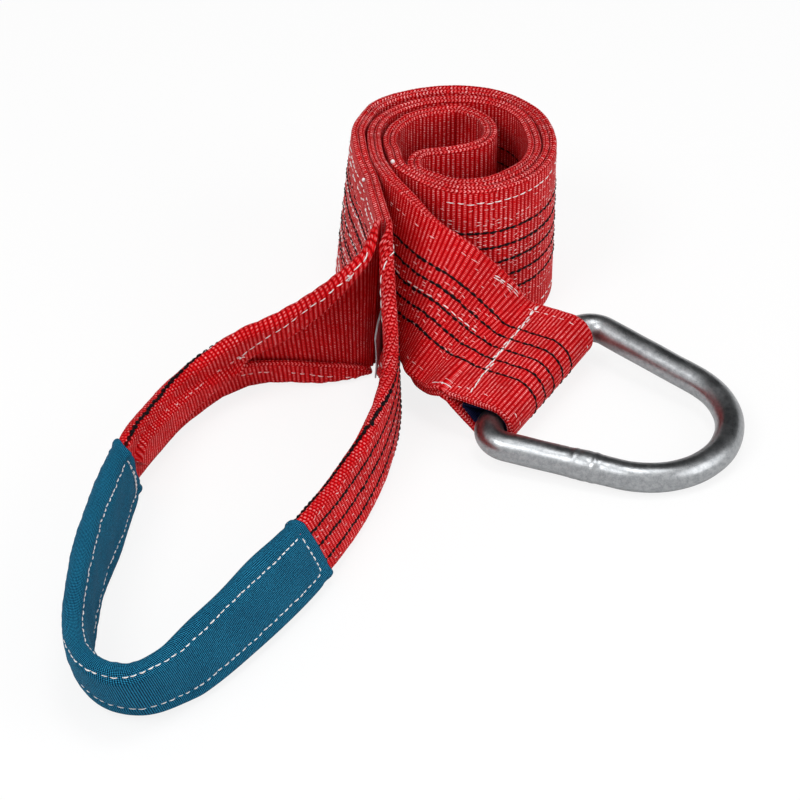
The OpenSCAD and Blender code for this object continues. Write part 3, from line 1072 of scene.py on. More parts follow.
@dataclass
class Strap:
    """The two-ply body: from the eye's throat through the roll to the ring's cross seam."""

    seat: RingSeat
    hollow: tuple[float, ...] = (27, 27.5, 25.5, 25.5, 24.5, 22, 28.2, 27.8)
    looseness: tuple[float, ...] = (1.02, 1.12, 1.3, 1.35, 1.05, 1, 1, 1)
    loop_len: float = 17.0
    lift: float = 0.45
    opened_in_roll: float = 0.07
    packed_at_ring: float = 0.20
    row_step: float = 0.42
    section: PlySection = PlySection()
    eye_in: int = 90
    eye_out: int = 500
    ring_in: int = 250
    ring_out: int = 540
    over_ring_strand: Pair = (188, 225)
    over_first_turn: Pair = (370, 440)
    core: tuple[Pair, ...] = (
        (8.2, 19.5), (11.3, 12), (11, 4.5), (7.5, -1.5), (1, -5), (-6, -7), (-12, -8.2),
        (-15.2, -11.2), (-16, -15), (-15.3, -18.8), (-12.5, -21.8))
    eye_run: tuple[tuple[float, ...], ...] = (
        (-41.5, 10, 0.3, 0.1, 0, 1), (-42, 0, 0.3, 0.11, 0, 1), (-41, -12, 0.3, 0.12, 0, 1),
        (-38, -25, 0.3, 0.12, 0, 1), (-34.2, -38, 0.3, 0.09, 0, 1), (-29.3, -53, 0.3, 0.05, 0, 1))
    ring_run: tuple[tuple[float, ...], ...] = (
        (-29.3, -13, 0.1, 0.01, 0.02, 1), (-26.8, -29, 0.5, 0.04, 0.08, 0.99),
        (-25, -45, 3, 0.15, 0.15, 0.91), (-21.8, -58, 7, 0.23, 0.29, 0.75),
        (-18.8, -70, 11, 0.33, 0.47, 0.57), (-17.6, -81, 13.5, 0.46, 0.68, 0.37),
        (-12.5, -87, 12.5, 0.5, 0.77, 0.25))

    def _turn(self, angle: float, layer: float) -> list[float]:
        """Point of a turn of the roll, seen from above, with a number of layers inside it."""
        inside = layer * (2 * PLY + TURN_GAP) * around(self.looseness, angle)
        return polar(around(self.hollow, angle) + inside, angle)

    def _eye_turn(self, angle: float) -> list[float]:
        """Point of the eye's strand in the roll."""
        layer = ease(angle, *self.over_ring_strand) + ease(angle, *self.over_first_turn)
        return self._turn(angle, float(layer))

    def _ring_turn(self, angle: float) -> list[float]:
        """Point of the ring's strand in the roll."""
        return self._turn(angle, float(ease(angle, *self.over_first_turn)))

    @staticmethod
    def _upright(points: Array | list) -> Array:
        """Lower and upper points of a webbing that stands on its edge."""
        foot = np.column_stack([np.asarray(points, float), np.zeros(len(points))]) + HOME
        return np.hstack([foot, foot + [0, 0, WEB_W]])

    def __post_init__(self) -> None:
        """Work out the way of the webbing."""
        steps, lead, turn_step, upright = 16, 10, 2.0, self._upright
        eye_turn, ring_turn = self._eye_turn, self._ring_turn
        eye_rows = np.vstack([upright([eye_turn(self.eye_out - lead), eye_turn(self.eye_out)]),
                              stations(self.eye_run, WEB_W, 1)])
        ring_rows = np.vstack([
            upright([ring_turn(self.ring_out - lead), ring_turn(self.ring_out)]),
            stations(self.ring_run, WEB_W, 1),
            [self.seat.row(self.loop_len + more) for more in (4, 0.2)], [self.seat.row(0)]])
        core = [eye_turn(self.eye_in + lead), eye_turn(self.eye_in), *self.core,
                ring_turn(self.ring_in), ring_turn(self.ring_in + lead)]
        parts = [spline(eye_rows, steps)[steps:][::-1],
                 upright([eye_turn(a) for a in
                          np.arange(self.eye_out - turn_step, self.eye_in + 1, -turn_step)]),
                 upright(spline(core, steps)[steps:-steps]),
                 upright([ring_turn(a) for a in
                          np.arange(self.ring_in + turn_step, self.ring_out - 1, turn_step)]),
                 spline(ring_rows, steps)[steps:-steps]]
        table = np.vstack(parts)
        route = Route(table[:, :3].copy(), table[:, 3:].copy())
        s = route.travel
        raised = self.lift * (1 + np.clip(ripple(s, 0 * s, 11, 75), -1, 1))
        raised *= ease(s, 10, 40) * (1 - ease(s, route.length - 70, route.length - 25))
        for edge in (route.low, route.high):
            edge[:, 2] += raised
        self.route = Route(route.low, route.high)
        self.s_roll, self.s_run = s[len(parts[0])], s[len(table) - len(parts[-1])]

    @property
    def end(self) -> float:
        """Distance at which the strap reaches its cross seam."""
        return self.route.length

    def weave(self, s: Array) -> Array:
        """Distances in the weave, which is a little open in the roll and close near the ring.

        Args:
            s: distances along the strap.

        Returns:
            Distances that the ribs follow.
        """
        share = (1 - self.opened_in_roll * ease(s, self.s_roll - 10, self.s_roll + 10)
                 + self.packed_at_ring * ease(s, self.s_run - 30, self.s_run))
        return np.cumsum(share * np.gradient(s))

    def make(self, red: Material) -> None:
        """Make the two plies.

        Args:
            red: the webbing's material.
        """
        s = np.linspace(0, self.end, int(self.end / (self.row_step * COARSE)) + 2)
        for name, node, middle, seed in (("webbing_outer", "outer_ply", PLY / 2, 3),
                                         ("webbing_inner", "inner_ply", -PLY / 2, 4)):
            ply = self.section.sweep(self.route, s, middle, self.weave(s), seed)
            build(name, [ply], [red], (node,))


@dataclass
class RingLoop:
    """The strap's end, laid round the ring's bar over a cloth lining."""

    seat: RingSeat
    strap: Strap
    length: float = 17.3
    radius: float = 7.25
    root: float = 1.32
    row_step: float = 0.34
    bend_rows: int = 90
    flat_rows: int = 14
    close_weave: float = 1.18
    lining_radius: float = 5.68
    lining_length: float = 12.0
    lining_root: float = 0.32
    lining_half: float = 0.19
    lining_in: float = 0.4
    lining_step: float = 0.5
    lining_cols: int = 24

    def _path(self, radius: float, length: float, root: float, half_width: float) -> Route:
        """Way round the bar, from above the strap's end to below it.

        Args:
            radius: distance from the bar's middle line.
            length: distance of the two ends from the bar.
            root: height of the two ends above and below the strap's middle.
            half_width: half of the cloth's width.

        Returns:
            The way.
        """
        lean = math.acos(radius / math.hypot(length, root))
        touch = math.degrees(math.atan2(root, -length) - lean)
        arc = np.radians(np.linspace(touch, -touch, self.bend_rows))
        t = np.linspace(0, 1, self.flat_rows, endpoint=False)[:, None]
        bend = radius * np.column_stack([np.cos(arc), np.sin(arc)])
        start, first = np.array([[-length, root]]), bend[:1]
        low = (first + (start - first) * (t + 1 / self.flat_rows)) * [1, -1]
        flat = np.vstack([start + (first - start) * t, bend, low])
        line = np.column_stack([flat[:, 0], 0 * flat[:, 0], flat[:, 1]])
        return Route(*(self.seat.from_seat(line + [0, side * half_width, 0], self.seat.loop_dip)
                       for side in (-1, 1)))

    def make(self, red: Material, dark: Material) -> None:
        """Make the loop and its lining.

        Args:
            red: the webbing's material.
            dark: the lining's material.
        """
        self.route = self._path(self.radius, self.length, self.root, WEB_W / 2)
        length = self.route.length
        s = np.linspace(0, length, int(length / (self.row_step * COARSE)))
        loop = self.strap.section.sweep(self.route, s, 0.0, s * self.close_weave, 8)
        build("webbing_ring_loop", [loop], [red], ("ring_loop",))
        way = self._path(self.lining_radius, self.lining_length, self.lining_root,
                         WEB_W / 2 - self.lining_in)
        s = np.linspace(0, way.length, int(way.length / (self.lining_step * COARSE)))
        face = np.linspace(0.01, 0.99, self.lining_cols)
        v = np.concatenate([face, np.linspace(0.99, 0.01, self.lining_cols)])
        off = np.repeat([self.lining_half, -self.lining_half], self.lining_cols)
        lining = grid(way.place(s[:, None], v, off), s, v * WEB_W)
        build("loop_lining_cloth", [lining], [dark], ("loop_lining",))


@dataclass
class Eye:
    """The soft eye: one webbing round the tip and back to the throat, with folded edges."""

    folded_w: float = 25.5
    sleeve_room: float = 1.4
    turning_room: float = 1.1
    butt: float = 0.9
    fold_gap: float = 0.3
    sleeve_from: int = 9
    sleeve_to: int = 19
    closed_from: int = 9
    closed_to: int = 6
    row_step: float = 0.42
    hidden_step: float = 2.4
    hidden_in: float = 7.0
    section: PlySection = PlySection(face_cols=46, shift=4 * BACK)
    path: tuple[tuple[float, ...], ...] = (
        (-30.7, -55.5, 0, 0.05, 0, 1), (-33.8, -59, 0, 0.02, -0.04, 1),
        (-40, -62, 0, -0.04, -0.09, 1), (-49.5, -64, 0, -0.07, -0.18, 0.98),
        (-61, -63.5, 0, -0.09, -0.33, 0.94), (-72, -65, 0, -0.11, -0.4, 0.91),
        (-82, -71.5, 0, -0.11, -0.44, 0.89), (-91.3, -82.5, 0, -0.1, -0.41, 0.9),
        (-100.5, -98.5, 0, -0.04, -0.34, 0.94), (-111, -126.5, 0, 0.04, -0.2, 0.98),
        (-115.5, -147.5, 0, 0.06, -0.12, 0.99), (-118.5, -174, 0, 0.02, -0.08, 1),
        (-120.3, -202, 0, 0.02, -0.12, 0.99), (-117.5, -222, 0, -0.06, -0.32, 0.94),
        (-109, -236, 0, -0.15, -0.37, 0.92), (-98, -240, 0, -0.19, -0.4, 0.9),
        (-86, -233, 0, -0.25, -0.36, 0.9), (-73, -220, 0, -0.29, -0.16, 0.94),
        (-57.5, -197.5, 0, -0.35, -0.12, 0.93), (-44.5, -174.5, 0, -0.35, -0.14, 0.93),
        (-34, -147, 0, -0.28, -0.15, 0.95), (-27, -121.5, 0, -0.18, -0.22, 0.96),
        (-24, -101, 0, -0.08, -0.26, 0.96), (-23, -84, 0, -0.03, -0.24, 0.97),
        (-24.8, -68, 0, 0, -0.09, 1), (-29, -54.5, 0, 0.05, 0, 1))

    def __post_init__(self) -> None:
        """Work out the way of the leg and of its folded cloth."""
        steps, last = 16, len(self.path) - 1
        at = np.arange(last + 1)
        closing = np.maximum(np.maximum(0, 1 - at / self.closed_from) ** 2,
                             np.maximum(0, 1 - (last - at) / self.closed_to) ** 3)
        rows = np.asarray(self.path, float)
        rows[:, 3:] = unit(rows[:, 3:])
        table = stations(rows, self.folded_w + (WEB_W - self.folded_w) * closing, steps)
        low, high = table[:, :3], table[:, 3:]
        station = np.arange(len(table)) / steps
        span = high - low
        square = unit(np.cross(unit(np.gradient(low + high, axis=0)), span))
        room = self.sleeve_room * ease(station, self.sleeve_from - 1, self.sleeve_from) * (
            1 - ease(station, self.sleeve_to, self.sleeve_to + 1))
        rise = (PLY + self.fold_gap + room) * np.abs(square[:, 2]) + room * unit(span)[:, 2]
        turning = bell((WEB_W - np.linalg.norm(span, axis=1)) / 2, 1.0, 1.2)
        low[:, 2] += rise + self.turning_room * turning
        high[:, 2] += rise
        self.route = Route(low, high)
        self.s_in, self.s_out = (float(np.interp(mouth, station, self.route.travel))
                                 for mouth in (self.sleeve_from, self.sleeve_to))
        self.cloth = FoldedRoute(self.route, self.s_in + 2, self.s_out - 2)

    def make(self, red: Material) -> None:
        """Make the folded webbing, with few rows where the sleeve hides it.

        Args:
            red: the webbing's material.
        """
        fine, hidden = self.row_step * COARSE, self.hidden_step
        first, last = self.s_in + self.hidden_in, self.s_out - self.hidden_in
        rows = np.concatenate([np.arange(0, first, fine), np.arange(first + hidden, last, hidden),
                               np.arange(last, self.route.length, fine), [self.route.length]])
        webbing = self.section.sweep(self.cloth, rows, 0.0, rows, 21, self.butt)
        build("eye_webbing", [webbing], [red], ("eye_panel", "eye_upper_fold", "eye_lower_fold"))


@dataclass
class Sleeve:
    """Cloth sleeve sewn flat round the tip of the eye."""

    eye: Eye
    cloth_t: float = 0.8
    round_end: float = 3.4
    centre: float = -0.22
    end_row: float = 4.4
    row_step: float = 0.75
    face_cols: int = 34
    bend_cols: int = 16
    top_in: float = 0.7
    mouth_slant: float = 5.0
    inner_slant: float = 10.0
    mouth_room: float = 0.8
    mouth_reach: float = 24.0
    hang: float = 1.8
    hang_more: float = 2.2
    hang_at: float = 27.0
    row_sunk: float = 0.42
    end_sunk: float = 0.35
    puff: float = 0.55
    edge_puff: float = 0.25
    pucker: float = 0.14
    crease: float = 0.38
    wave: float = 0.20
    hem: float = 0.28
    outer_upper: tuple[Pair, ...] = ((0, 22.0), (98, 21.6), (118, 25.2), (135, 25.3),
                                     (144, 24.2), (154, 22.8), (214, 22.5))
    outer_lower: tuple[Pair, ...] = ((0, 4.2), (80, 5.0), (122, 6.2), (136, 6.0), (147, 5.0),
                                     (214, 4.4))
    inner_upper: tuple[Pair, ...] = ((0, 22.4), (20, 23.2), (180, 23.2), (214, 22.4))
    inner_lower: tuple[Pair, ...] = ((0, 4.2), (20, 5.6), (80, 4.6), (214, 3.6))

    def __post_init__(self) -> None:
        """Work out the section's size."""
        self.mid = self.eye.folded_w / 2
        self.half = self.mid + self.eye.sleeve_room
        self.flat = self.half - self.round_end

    def row(self, side: int, upper: bool, s: Array) -> Array:
        """Height of a long seam above the web's lower edge, at distances along the leg.

        Args:
            side: 1 for the outer face, -1 for the inner one.
            upper: whether it is the upper seam.
            s: distances along the leg.

        Returns:
            The heights.
        """
        table = {(1, True): self.outer_upper, (1, False): self.outer_lower,
                 (-1, True): self.inner_upper, (-1, False): self.inner_lower}[(side, upper)]
        at, height = np.asarray(table, float).T
        return np.interp(s - self.eye.s_in, at, height)

    def relief(self, s: Array, p: Array, side: Array) -> Array:
        """How far the cloth stands off its plain section.

        Args:
            s: distances along the leg.
            p: distances across from its middle.
            side: 1 on the outer face, -1 on the inner one, 0 on the two long folds.

        Returns:
            Heights off the section.
        """
        start, end, seam, fade = self.eye.s_in, self.eye.s_out, 1.1, 9
        face, outer = np.abs(side), side > 0
        flat_face = face > 0.99
        upper, lower = (np.where(outer, self.row(1, top, s), self.row(-1, top, s)) - self.mid
                        for top in (True, False))
        swell = np.cos(np.clip(p / self.flat, -1, 1) * math.pi / 2)
        ridge = 0.5 * bell(p, upper + 1.3, 0.4) * outer
        row = (bell(p, upper, seam) + bell(p, lower, seam) + ridge) * face
        ends = bell(s, start + self.end_row, 1.5) + bell(s, end - self.end_row, 1.5)
        puff = self.puff * swell * face + self.edge_puff * (1 - face)
        puff = puff * ease(s, start, start + fade) * (1 - ease(s, end - fade, end))
        near = bell(p, upper, 4) + bell(p, lower, 4)
        pucker = self.pucker * ripple(s, p * 1.5, 31, 6.5) * near * flat_face
        tip = bell(s, start + 0.52 * (end - start), 42) * np.where(side < 0, 1.0, 0.25)
        creases = self.crease * tip * ripple(s, p * 0.35, 33, 11) * swell * flat_face
        wave = self.wave * ripple(s, p * 2, 35, 38)
        hem = self.hem * (bell(s, start + seam, seam) + bell(s, end - seam, seam))
        return (puff - self.row_sunk * row - self.end_sunk * ends * face + pucker + creases
                + wave + hem)

    def level(self, side: int) -> Level:
        """Function that finds the height of one face off the leg's middle surface.

        Args:
            side: 1 for the outer face, -1 for the inner one.

        Returns:
            The function.
        """
        def read(s: Array, v: Array) -> Array:
            """Height of the cloth at distances s and v.

            Args:
                s: distances along the leg.
                v: heights above its lower edge.

            Returns:
                Distances off the middle surface.
            """
            p = v - self.mid
            past = np.abs(p) - self.flat + self.top_in * (p > 0)
            bent = np.sqrt(np.maximum(1 - (np.maximum(past, 0) / self.round_end) ** 2, 0))
            height = self.round_end * bent + self.relief(s, p, np.full_like(p, side))
            return self.centre + side * height - self.slack(s, p) * (side < 0)
        return read

    def slack(self, s: Array, p: Array) -> Array:
        """How far the inner face's lower part hangs away from the web on the first leg.

        Args:
            s: distances along the leg.
            p: distances across from its middle.

        Returns:
            The distances.
        """
        at = s - self.eye.s_in
        out = (self.hang * ease(at, -2, 12) * (1 - ease(at, 78, 114))
               + self.hang_more * bell(at, self.hang_at, 21))
        return out * np.clip((self.half - p) / (2 * self.half), 0, 1)

    def slant(self, s: Array, p: Array, inner: Array | float) -> Array:
        """Distances along the leg of points near the first mouth, which is cut at a slant.

        Args:
            s: distances along the leg.
            p: distances across from its middle.
            inner: 0 on the outer face to 1 on the inner one.

        Returns:
            The distances on the slanted cut.
        """
        share = np.clip((p + self.half) / (2 * self.half), 0, 1)
        cut = self.mouth_slant + (self.inner_slant - self.mouth_slant) * inner
        return s + cut * share * (1 - ease(s, self.eye.s_in, self.eye.s_in + self.mouth_reach))

    def _wall(self, s: Array, inset: float) -> Array:
        """Points of the sleeve's wall, by row and column, inset from its outer surface.

        Args:
            s: distances of the rows along the leg.
            inset: how far inside its outer surface it lies.

        Returns:
            The points.
        """
        eye, top = self.eye, self.flat - self.top_in
        face = np.linspace(-self.flat, top, self.face_cols)
        angle = np.radians(np.linspace(90, -90, self.bend_cols + 2)[1:-1])
        c, n = np.cos(angle), np.sin(angle)
        none, turning = 0 * face, ease(n, 0.2, 0.8) - ease(-n, 0.2, 0.8)
        p = np.concatenate([face, top + self.round_end * c, face[::-1],
                            -self.flat - self.round_end * c])
        n_p = np.concatenate([none, c, none, -c])
        n_o = np.concatenate([none + 1, n, none - 1, -n])
        side = np.concatenate([none + 1, turning, none - 1, -turning])
        relief = self.relief(s[:, None], p[None], side[None])
        d = relief * (0.5 if inset else 1.0) - inset
        mouths = (bell(s, eye.s_in, 7) + bell(s, eye.s_out, 7))[:, None]
        hang = self.mouth_room * mouths * (n_o < -0.3) * np.abs(n_o)
        inward = ease(-n_o, -0.6, 0.9)
        hang = hang + self.slack(s[:, None], p[None]) * inward
        return eye.route.place(self.slant(s[:, None], p[None], inward),
                               0.5 + (p + n_p * d) / eye.folded_w,
                               self.centre + n_o * self.round_end + n_o * d - hang)

    def make(self, blue: Material) -> None:
        """Make the sleeve: outer wall, cut ends and inner wall.

        Args:
            blue: the sleeve's material.
        """
        start, end = self.eye.s_in, self.eye.s_out
        rows = np.linspace(start, end, int((end - start) / (self.row_step * COARSE)))
        few = rows[::12]
        outer, inner = self._wall(rows, 0), self._wall(few, self.cloth_t + 0.3)
        lip_end, lip_start = self._wall(rows[-1:] + 0.25, 0.4), self._wall(rows[:1] - 0.25, 0.4)
        points = np.concatenate([outer, lip_end, inner[::-1], lip_start, outer[:1]])
        along = np.concatenate([rows, rows[-1:] + 0.5, end + 1 + (end - few[::-1]),
                                [start - 1], [start]])
        girth = np.cumsum(np.linalg.norm(np.roll(outer[0], -1, axis=0) - outer[0], axis=1))
        wall = grid(points, along, (np.concatenate([[0], girth[:-1]]), girth), capped=False)
        build("sleeve_cloth", [wall], [blue], ("wear_sleeve",))


@dataclass
class Ring:
    """Welded steel ring with a straight bar, two tight corners and a round end."""

    seat: RingSeat
    bar_r: float = 5.0
    bar_half: float = 28.6
    corner_r: float = 8.2
    apex_r: float = 29.5
    length: float = 72.0
    weld_at: float = 0.7
    sides: int = 56
    step: float = 0.35
    worn: float = 0.035
    lumps: float = 0.030
    lumps_reach: float = 9.0
    flash: tuple[Triple, ...] = ((0.15, -3.6, 0.8), (0.12, 3.6, 0.8), (0.26, 0, 3.6))

    def _arc(self, cx: float, cy: float, r: float, a: float, b: float) -> Array:
        """Points of a bend round a middle, from one angle to another."""
        t = np.linspace(a, b, max(int(abs(b - a) * r / self.step), 8))
        return np.column_stack([cx + r * np.cos(t), cy + r * np.sin(t)])

    def _line(self) -> tuple[Array, float]:
        """The bar's middle line, and how far along it the weld lies.

        Returns:
            The line's points from above, and the weld's distance along it.
        """
        apex_x = self.length - self.apex_r
        dx = apex_x - self.corner_r
        dist = math.hypot(dx, self.bar_half)
        square = (math.acos((self.corner_r - self.apex_r) / dist)
                  - math.atan2(self.bar_half, dx))
        bends = [self._arc(self.corner_r, self.bar_half, self.corner_r, math.pi, square),
                 self._arc(apex_x, 0, self.apex_r, square, -square),
                 self._arc(self.corner_r, -self.bar_half, self.corner_r, -square, -math.pi)]
        line = []
        for bend, following in zip(bends, bends[1:] + bends[:1]):
            last, first = bend[-1], following[0]
            count = int(np.linalg.norm(first - last) / self.step)
            line += [bend, last + (first - last) * (np.arange(1, count) / count)[:, None]]
        flat = np.vstack(line)
        foot, head = bends[2][0], bends[1][-1]
        weld = foot + (head - foot) * self.weld_at
        return flat, float(travelled(flat)[np.argmin(np.linalg.norm(flat - weld, axis=1))])

    def make(self, zinc: Material) -> None:
        """Make the ring.

        Args:
            zinc: the steel's material.
        """
        flat, weld = self._line()
        flat = flat
        run = travelled(flat)
        way = unit(np.roll(flat, -1, axis=0) - np.roll(flat, 1, axis=0))
        turn = 2 * math.pi * np.arange(self.sides) / self.sides
        d, girth = run - weld, 5 * turn[None]
        worn = self.worn * ripple(run[:, None], girth, 41, 14)
        collar = sum(height * bell(d, place, width) for height, place, width in self.flash)
        near = bell(d, 0, self.lumps_reach)[:, None]
        lumps = self.lumps * ripple(run[:, None], girth, 43, 2.6) * near
        radius = self.bar_r + worn + collar[:, None] * (1 + 0.25 * np.sin(turn + 0.8)) + lumps
        x = flat[:, None, 0] + way[:, None, 1] * np.cos(turn) * radius
        y = flat[:, None, 1] - way[:, None, 0] * np.cos(turn) * radius
        bar = np.stack([x, y, np.sin(turn) * radius], -1).reshape(-1, 3)
        points = self.seat.from_seat(bar, self.seat.ring_dip).reshape(*x.shape, 3)
        tube = grid(np.concatenate([points, points[:1]]),
                    np.concatenate([run, [run[-1] + self.step]]), turn * self.bar_r, capped=False)
        build("ring_bar", [tube], [zinc], ("ring",), Body.RING)


@dataclass
class LabelTab:
    """Folded cloth tab between the eye's two legs."""

    corner: Array = field(default_factory=lambda: np.array([-29.5, -75.0, 9.3]) + HOME)
    length: float = 18.0
    height: float = 16.0
    half: float = 0.16
    gap: float = 0.28
    front: float = 0.5
    bow: float = 1.9
    lean: float = 0.4
    rows: int = 40

    def make(self, cloth: Material) -> None:
        """Make the tab: two layers that meet in a fold at the front.

        Args:
            cloth: the tab's material.
        """
        y = np.linspace(self.length, self.front, 30)
        bow, gap = self.bow * (y / self.length) ** 1.3, self.gap / 2
        turn = np.radians(np.linspace(90, 270, 9))[1:-1]
        fold = np.column_stack([gap * np.sin(turn) + bow[-1],
                                self.front + self.front * np.cos(turn)])
        line = np.vstack([np.column_stack([gap + bow, y]), fold,
                          np.column_stack([-gap + bow[::-1], y[::-1]])])
        way = unit(np.gradient(line, axis=0))
        side = np.column_stack([way[:, 1], -way[:, 0]]) * self.half
        loop = np.vstack([line + side, (line - side)[::-1]])
        z = np.linspace(0, self.height, self.rows)
        x = np.add.outer(self.lean * np.sin(z / self.height * 3.1), loop[:, 0])
        y, z_all = np.broadcast_to(loop[:, 1], x.shape), np.broadcast_to(z[:, None], x.shape)
        points = np.stack([x, y, z_all], -1) + self.corner
        build("label_tab", [grid(points, z, np.arange(len(loop)) * 0.6)], [cloth], ("label",))


# ---------------------------------------------------------------- sewing

@dataclass
class Stitching:
    """All the rows of thread, from the strap to the sleeve."""

    strap: Strap
    loop: RingLoop
    eye: Eye
    sleeve: Sleeve
    face: float = PLY
    leg_face: float = 1.2
    edge_in: float = 5.0
    throat_rows: int = 9
    throat_pitch: float = 5.25
    bead: Sewing = Sewing(2.6, 2.0, 0.56, 0.25, 0.12, 0.0, 0.42)
    bold: Sewing = Sewing(3.2, 2.4, 0.22, 0.3, 0.16, 0.06)
    faint: Sewing = Sewing(3.2, 1.5, 0.15, 0.6, 0.30, 0.3)
    fleck: Sewing = Sewing(2.3, 1.25, 0.14, 0.5, 0.24, 0.40)

    def __post_init__(self) -> None:
        """Find where the rows of the strap and of the open leg start and end."""
        self.run = self.strap.s_run - 60
        self.wound = self.strap.s_roll + 150
        self.leg = (self.eye.s_out - 2, self.eye.route.length - 1)
        self.stripes = [WEB_W / 2 + k * STRIPE_PITCH for k in range(-2, 3)]

    def _flecks(self) -> list[float]:
        """Distances of the rows of light flecks beside and between the stripes."""
        gaps = [v + d for v in self.stripes for d in (1.2, 3.3, 4.9)]
        return gaps + [self.stripes[0] - d for d in (1.3, 3.2, 5.4)] + [WEB_W - 8.0]

    def _row(self, kind: Sewing, seed: int, cloth: Route | FoldedRoute, path: list[Pair],
             off: Level, width: float = WEB_W, **changes: float) -> Batch:
        """Sew one row of a kind, with some of the kind's values changed."""
        return replace(kind, seed=seed, **changes).along(cloth, path, off, width)

    def _straight(self, kind: Sewing, seed: int, where: str, v: float, **changes: float) -> Batch:
        """Sew one row at a distance across the strap's run or roll, the loop or the open leg.

        Args:
            kind: the kind of sewing.
            seed: which unevenness.
            where: run, roll, loop, first leg, leg, or leg, inside.
            v: distance from the lower edge.
            changes: values of the kind that are changed.

        Returns:
            The row.
        """
        cloth, start, end, off = {
            "run": (self.strap.route, self.run, self.strap.end, self.face),
            "roll": (self.strap.route, 1, self.wound, -self.face),
            "loop": (self.loop.route, 0.2, self.loop.route.length, self.leg_face),
            "first leg": (self.eye.cloth, 1, self.eye.s_in + 3, self.leg_face),
            "leg": (self.eye.cloth, *self.leg, self.leg_face),
            "leg, inside": (self.eye.cloth, *self.leg, -self.leg_face)}[where]
        return self._row(kind, seed, cloth, [(start, v), (end, v)], off, **changes)

    def make(self, white: Material, pale: Material, black: Material) -> None:
        """Make every row.

        Args:
            white: white thread.
            pale: faded thread.
            black: black thread.
        """
        both = [white, pale]
        for name, rows, finishes, node in (
                ("stripe_beads", self._beads(), [black], ()),
                ("middle_stitches", self._middle(), both, ("middle_seams",)),
                ("upper_edge_stitches", self._edge(True), both, ("upper_edge_seam",)),
                ("lower_edge_stitches", self._edge(False), both, ("lower_edge_seam",)),
                ("ring_cross_stitches", self._cross(), [white], ("ring_cross_seam",)),
                ("eye_edge_stitches", self._eye_rows(), both, ()),
                ("throat_stitches", self._throat(), [white, black], ("throat_seam",)),
                ("sleeve_upper_stitches", self._sleeve_row(True), [white],
                 ("sleeve_upper_seam",)),
                ("sleeve_lower_stitches", self._sleeve_row(False), [white],
                 ("sleeve_lower_seam",)),
                ("sleeve_end_stitches", self._sleeve_ends(), [white], ("sleeve_end_seams",))):
            build(name, rows, finishes, node)

    def _beads(self) -> list[Batch]:
        """Lay the black stripes' round beads.

        Returns:
            The rows.
        """
        rows = []
        for k, v in enumerate(self.stripes):
            rows += [self._straight(self.bead, 50 + k, where, v)
                     for where in ("run", "roll", "loop", "first leg")]
            rows.append(self._row(self.bead, 50 + k, self.eye.cloth,
                                  [(self.leg[0] - 1, v), (self.leg[1], v)], self.leg_face))
        return rows

    def _middle(self) -> list[Batch]:
        """Sew the rows along the stripes, one of them strong, and the flecks beside them.

        Returns:
            The rows.
        """
        rows, end = [], self.strap.end
        for k, v in enumerate((17.4, 20.6, 26.9, 30.3, 33.4, 39.8)):
            kind, rise, finish, missing = ((self.bold, 1.2, 0, 0.25) if k == 3
                                           else (self.faint, 0, 1, 0.4))
            rows.append(self._row(kind, 70 + k, self.strap.route,
                                  [(self.run, v), (end - 4, v + rise)], self.face,
                                  finish=finish, missing=missing))
        for k, v in enumerate(self._flecks()):
            rows.append(self._straight(self.fleck, 300 + k, "roll", v, finish=1))
            rows.append(self._row(self.fleck, 340 + k, self.strap.route,
                                  [(self.run, v), (end - 2, v)], self.face,
                                  finish=1, missing=0.91, radius=0.12))
        return rows

    def _edge(self, upper: bool) -> list[Batch]:
        """Sew the rows along one edge of the strap, its roll and the loop.

        Args:
            upper: whether it is the upper edge.

        Returns:
            The rows.
        """
        route, end = self.strap.route, self.strap.end
        v, inset, seed = ((WEB_W - self.edge_in, WEB_W - self.edge_in - 2, 90) if upper
                          else (self.edge_in, self.edge_in, 95))
        way = [(self.run, inset), (end - 36, inset), (end - 18, v), (end - 2, v)]
        rows = [self._row(self.bold, seed, route, way, self.face, missing=0.55, length=1.6,
                          radius=0.17, finish=1),
                self._straight(self.bold, seed + 1, "roll", v),
                self._row(self.faint, seed + 2, self.loop.route,
                          [(0.5, v), (self.loop.route.length, v)], self.leg_face, sunk=0.5)]
        cluster = ((55.2, 58.0), (54.4, 57.0)) if upper else ()
        for k, (a, b) in enumerate(cluster):
            rows.append(self._row(self.bold, 100 + k, route, [(end - 15.5, a), (end - 5.5, b)],
                                  self.face, missing=0.15, pitch=2.4, length=1.8, radius=0.19))
        return rows

    def _cross(self) -> list[Batch]:
        """Sew the cross seam that closes the ring's loop, above and below.

        Returns:
            The rows.
        """
        route, end = self.loop.route, self.strap.end
        kind = replace(self.bold, pitch=3.0, length=2.9, radius=0.26, missing=0.0, wander=0.22)
        rows = []
        for k, path in enumerate(([(3.0, 57.5), (3.5, 44), (4.5, 29.5), (5.0, 16), (6.4, 3)],
                                  [(4.0, 50), (4.0, 30), (4.4, 14)], [(2.6, 58), (3.3, 49)])):
            below = [(route.length - s, v) for s, v in path]
            rows += [self._row(kind, 111 + k, route, way, self.leg_face) for way in (path, below)]
        return rows + [self._row(self.bold, 118, self.strap.route,
                                 [(end - 7, 1.8), (end - 1, 2.6)], self.face, missing=0.0)]

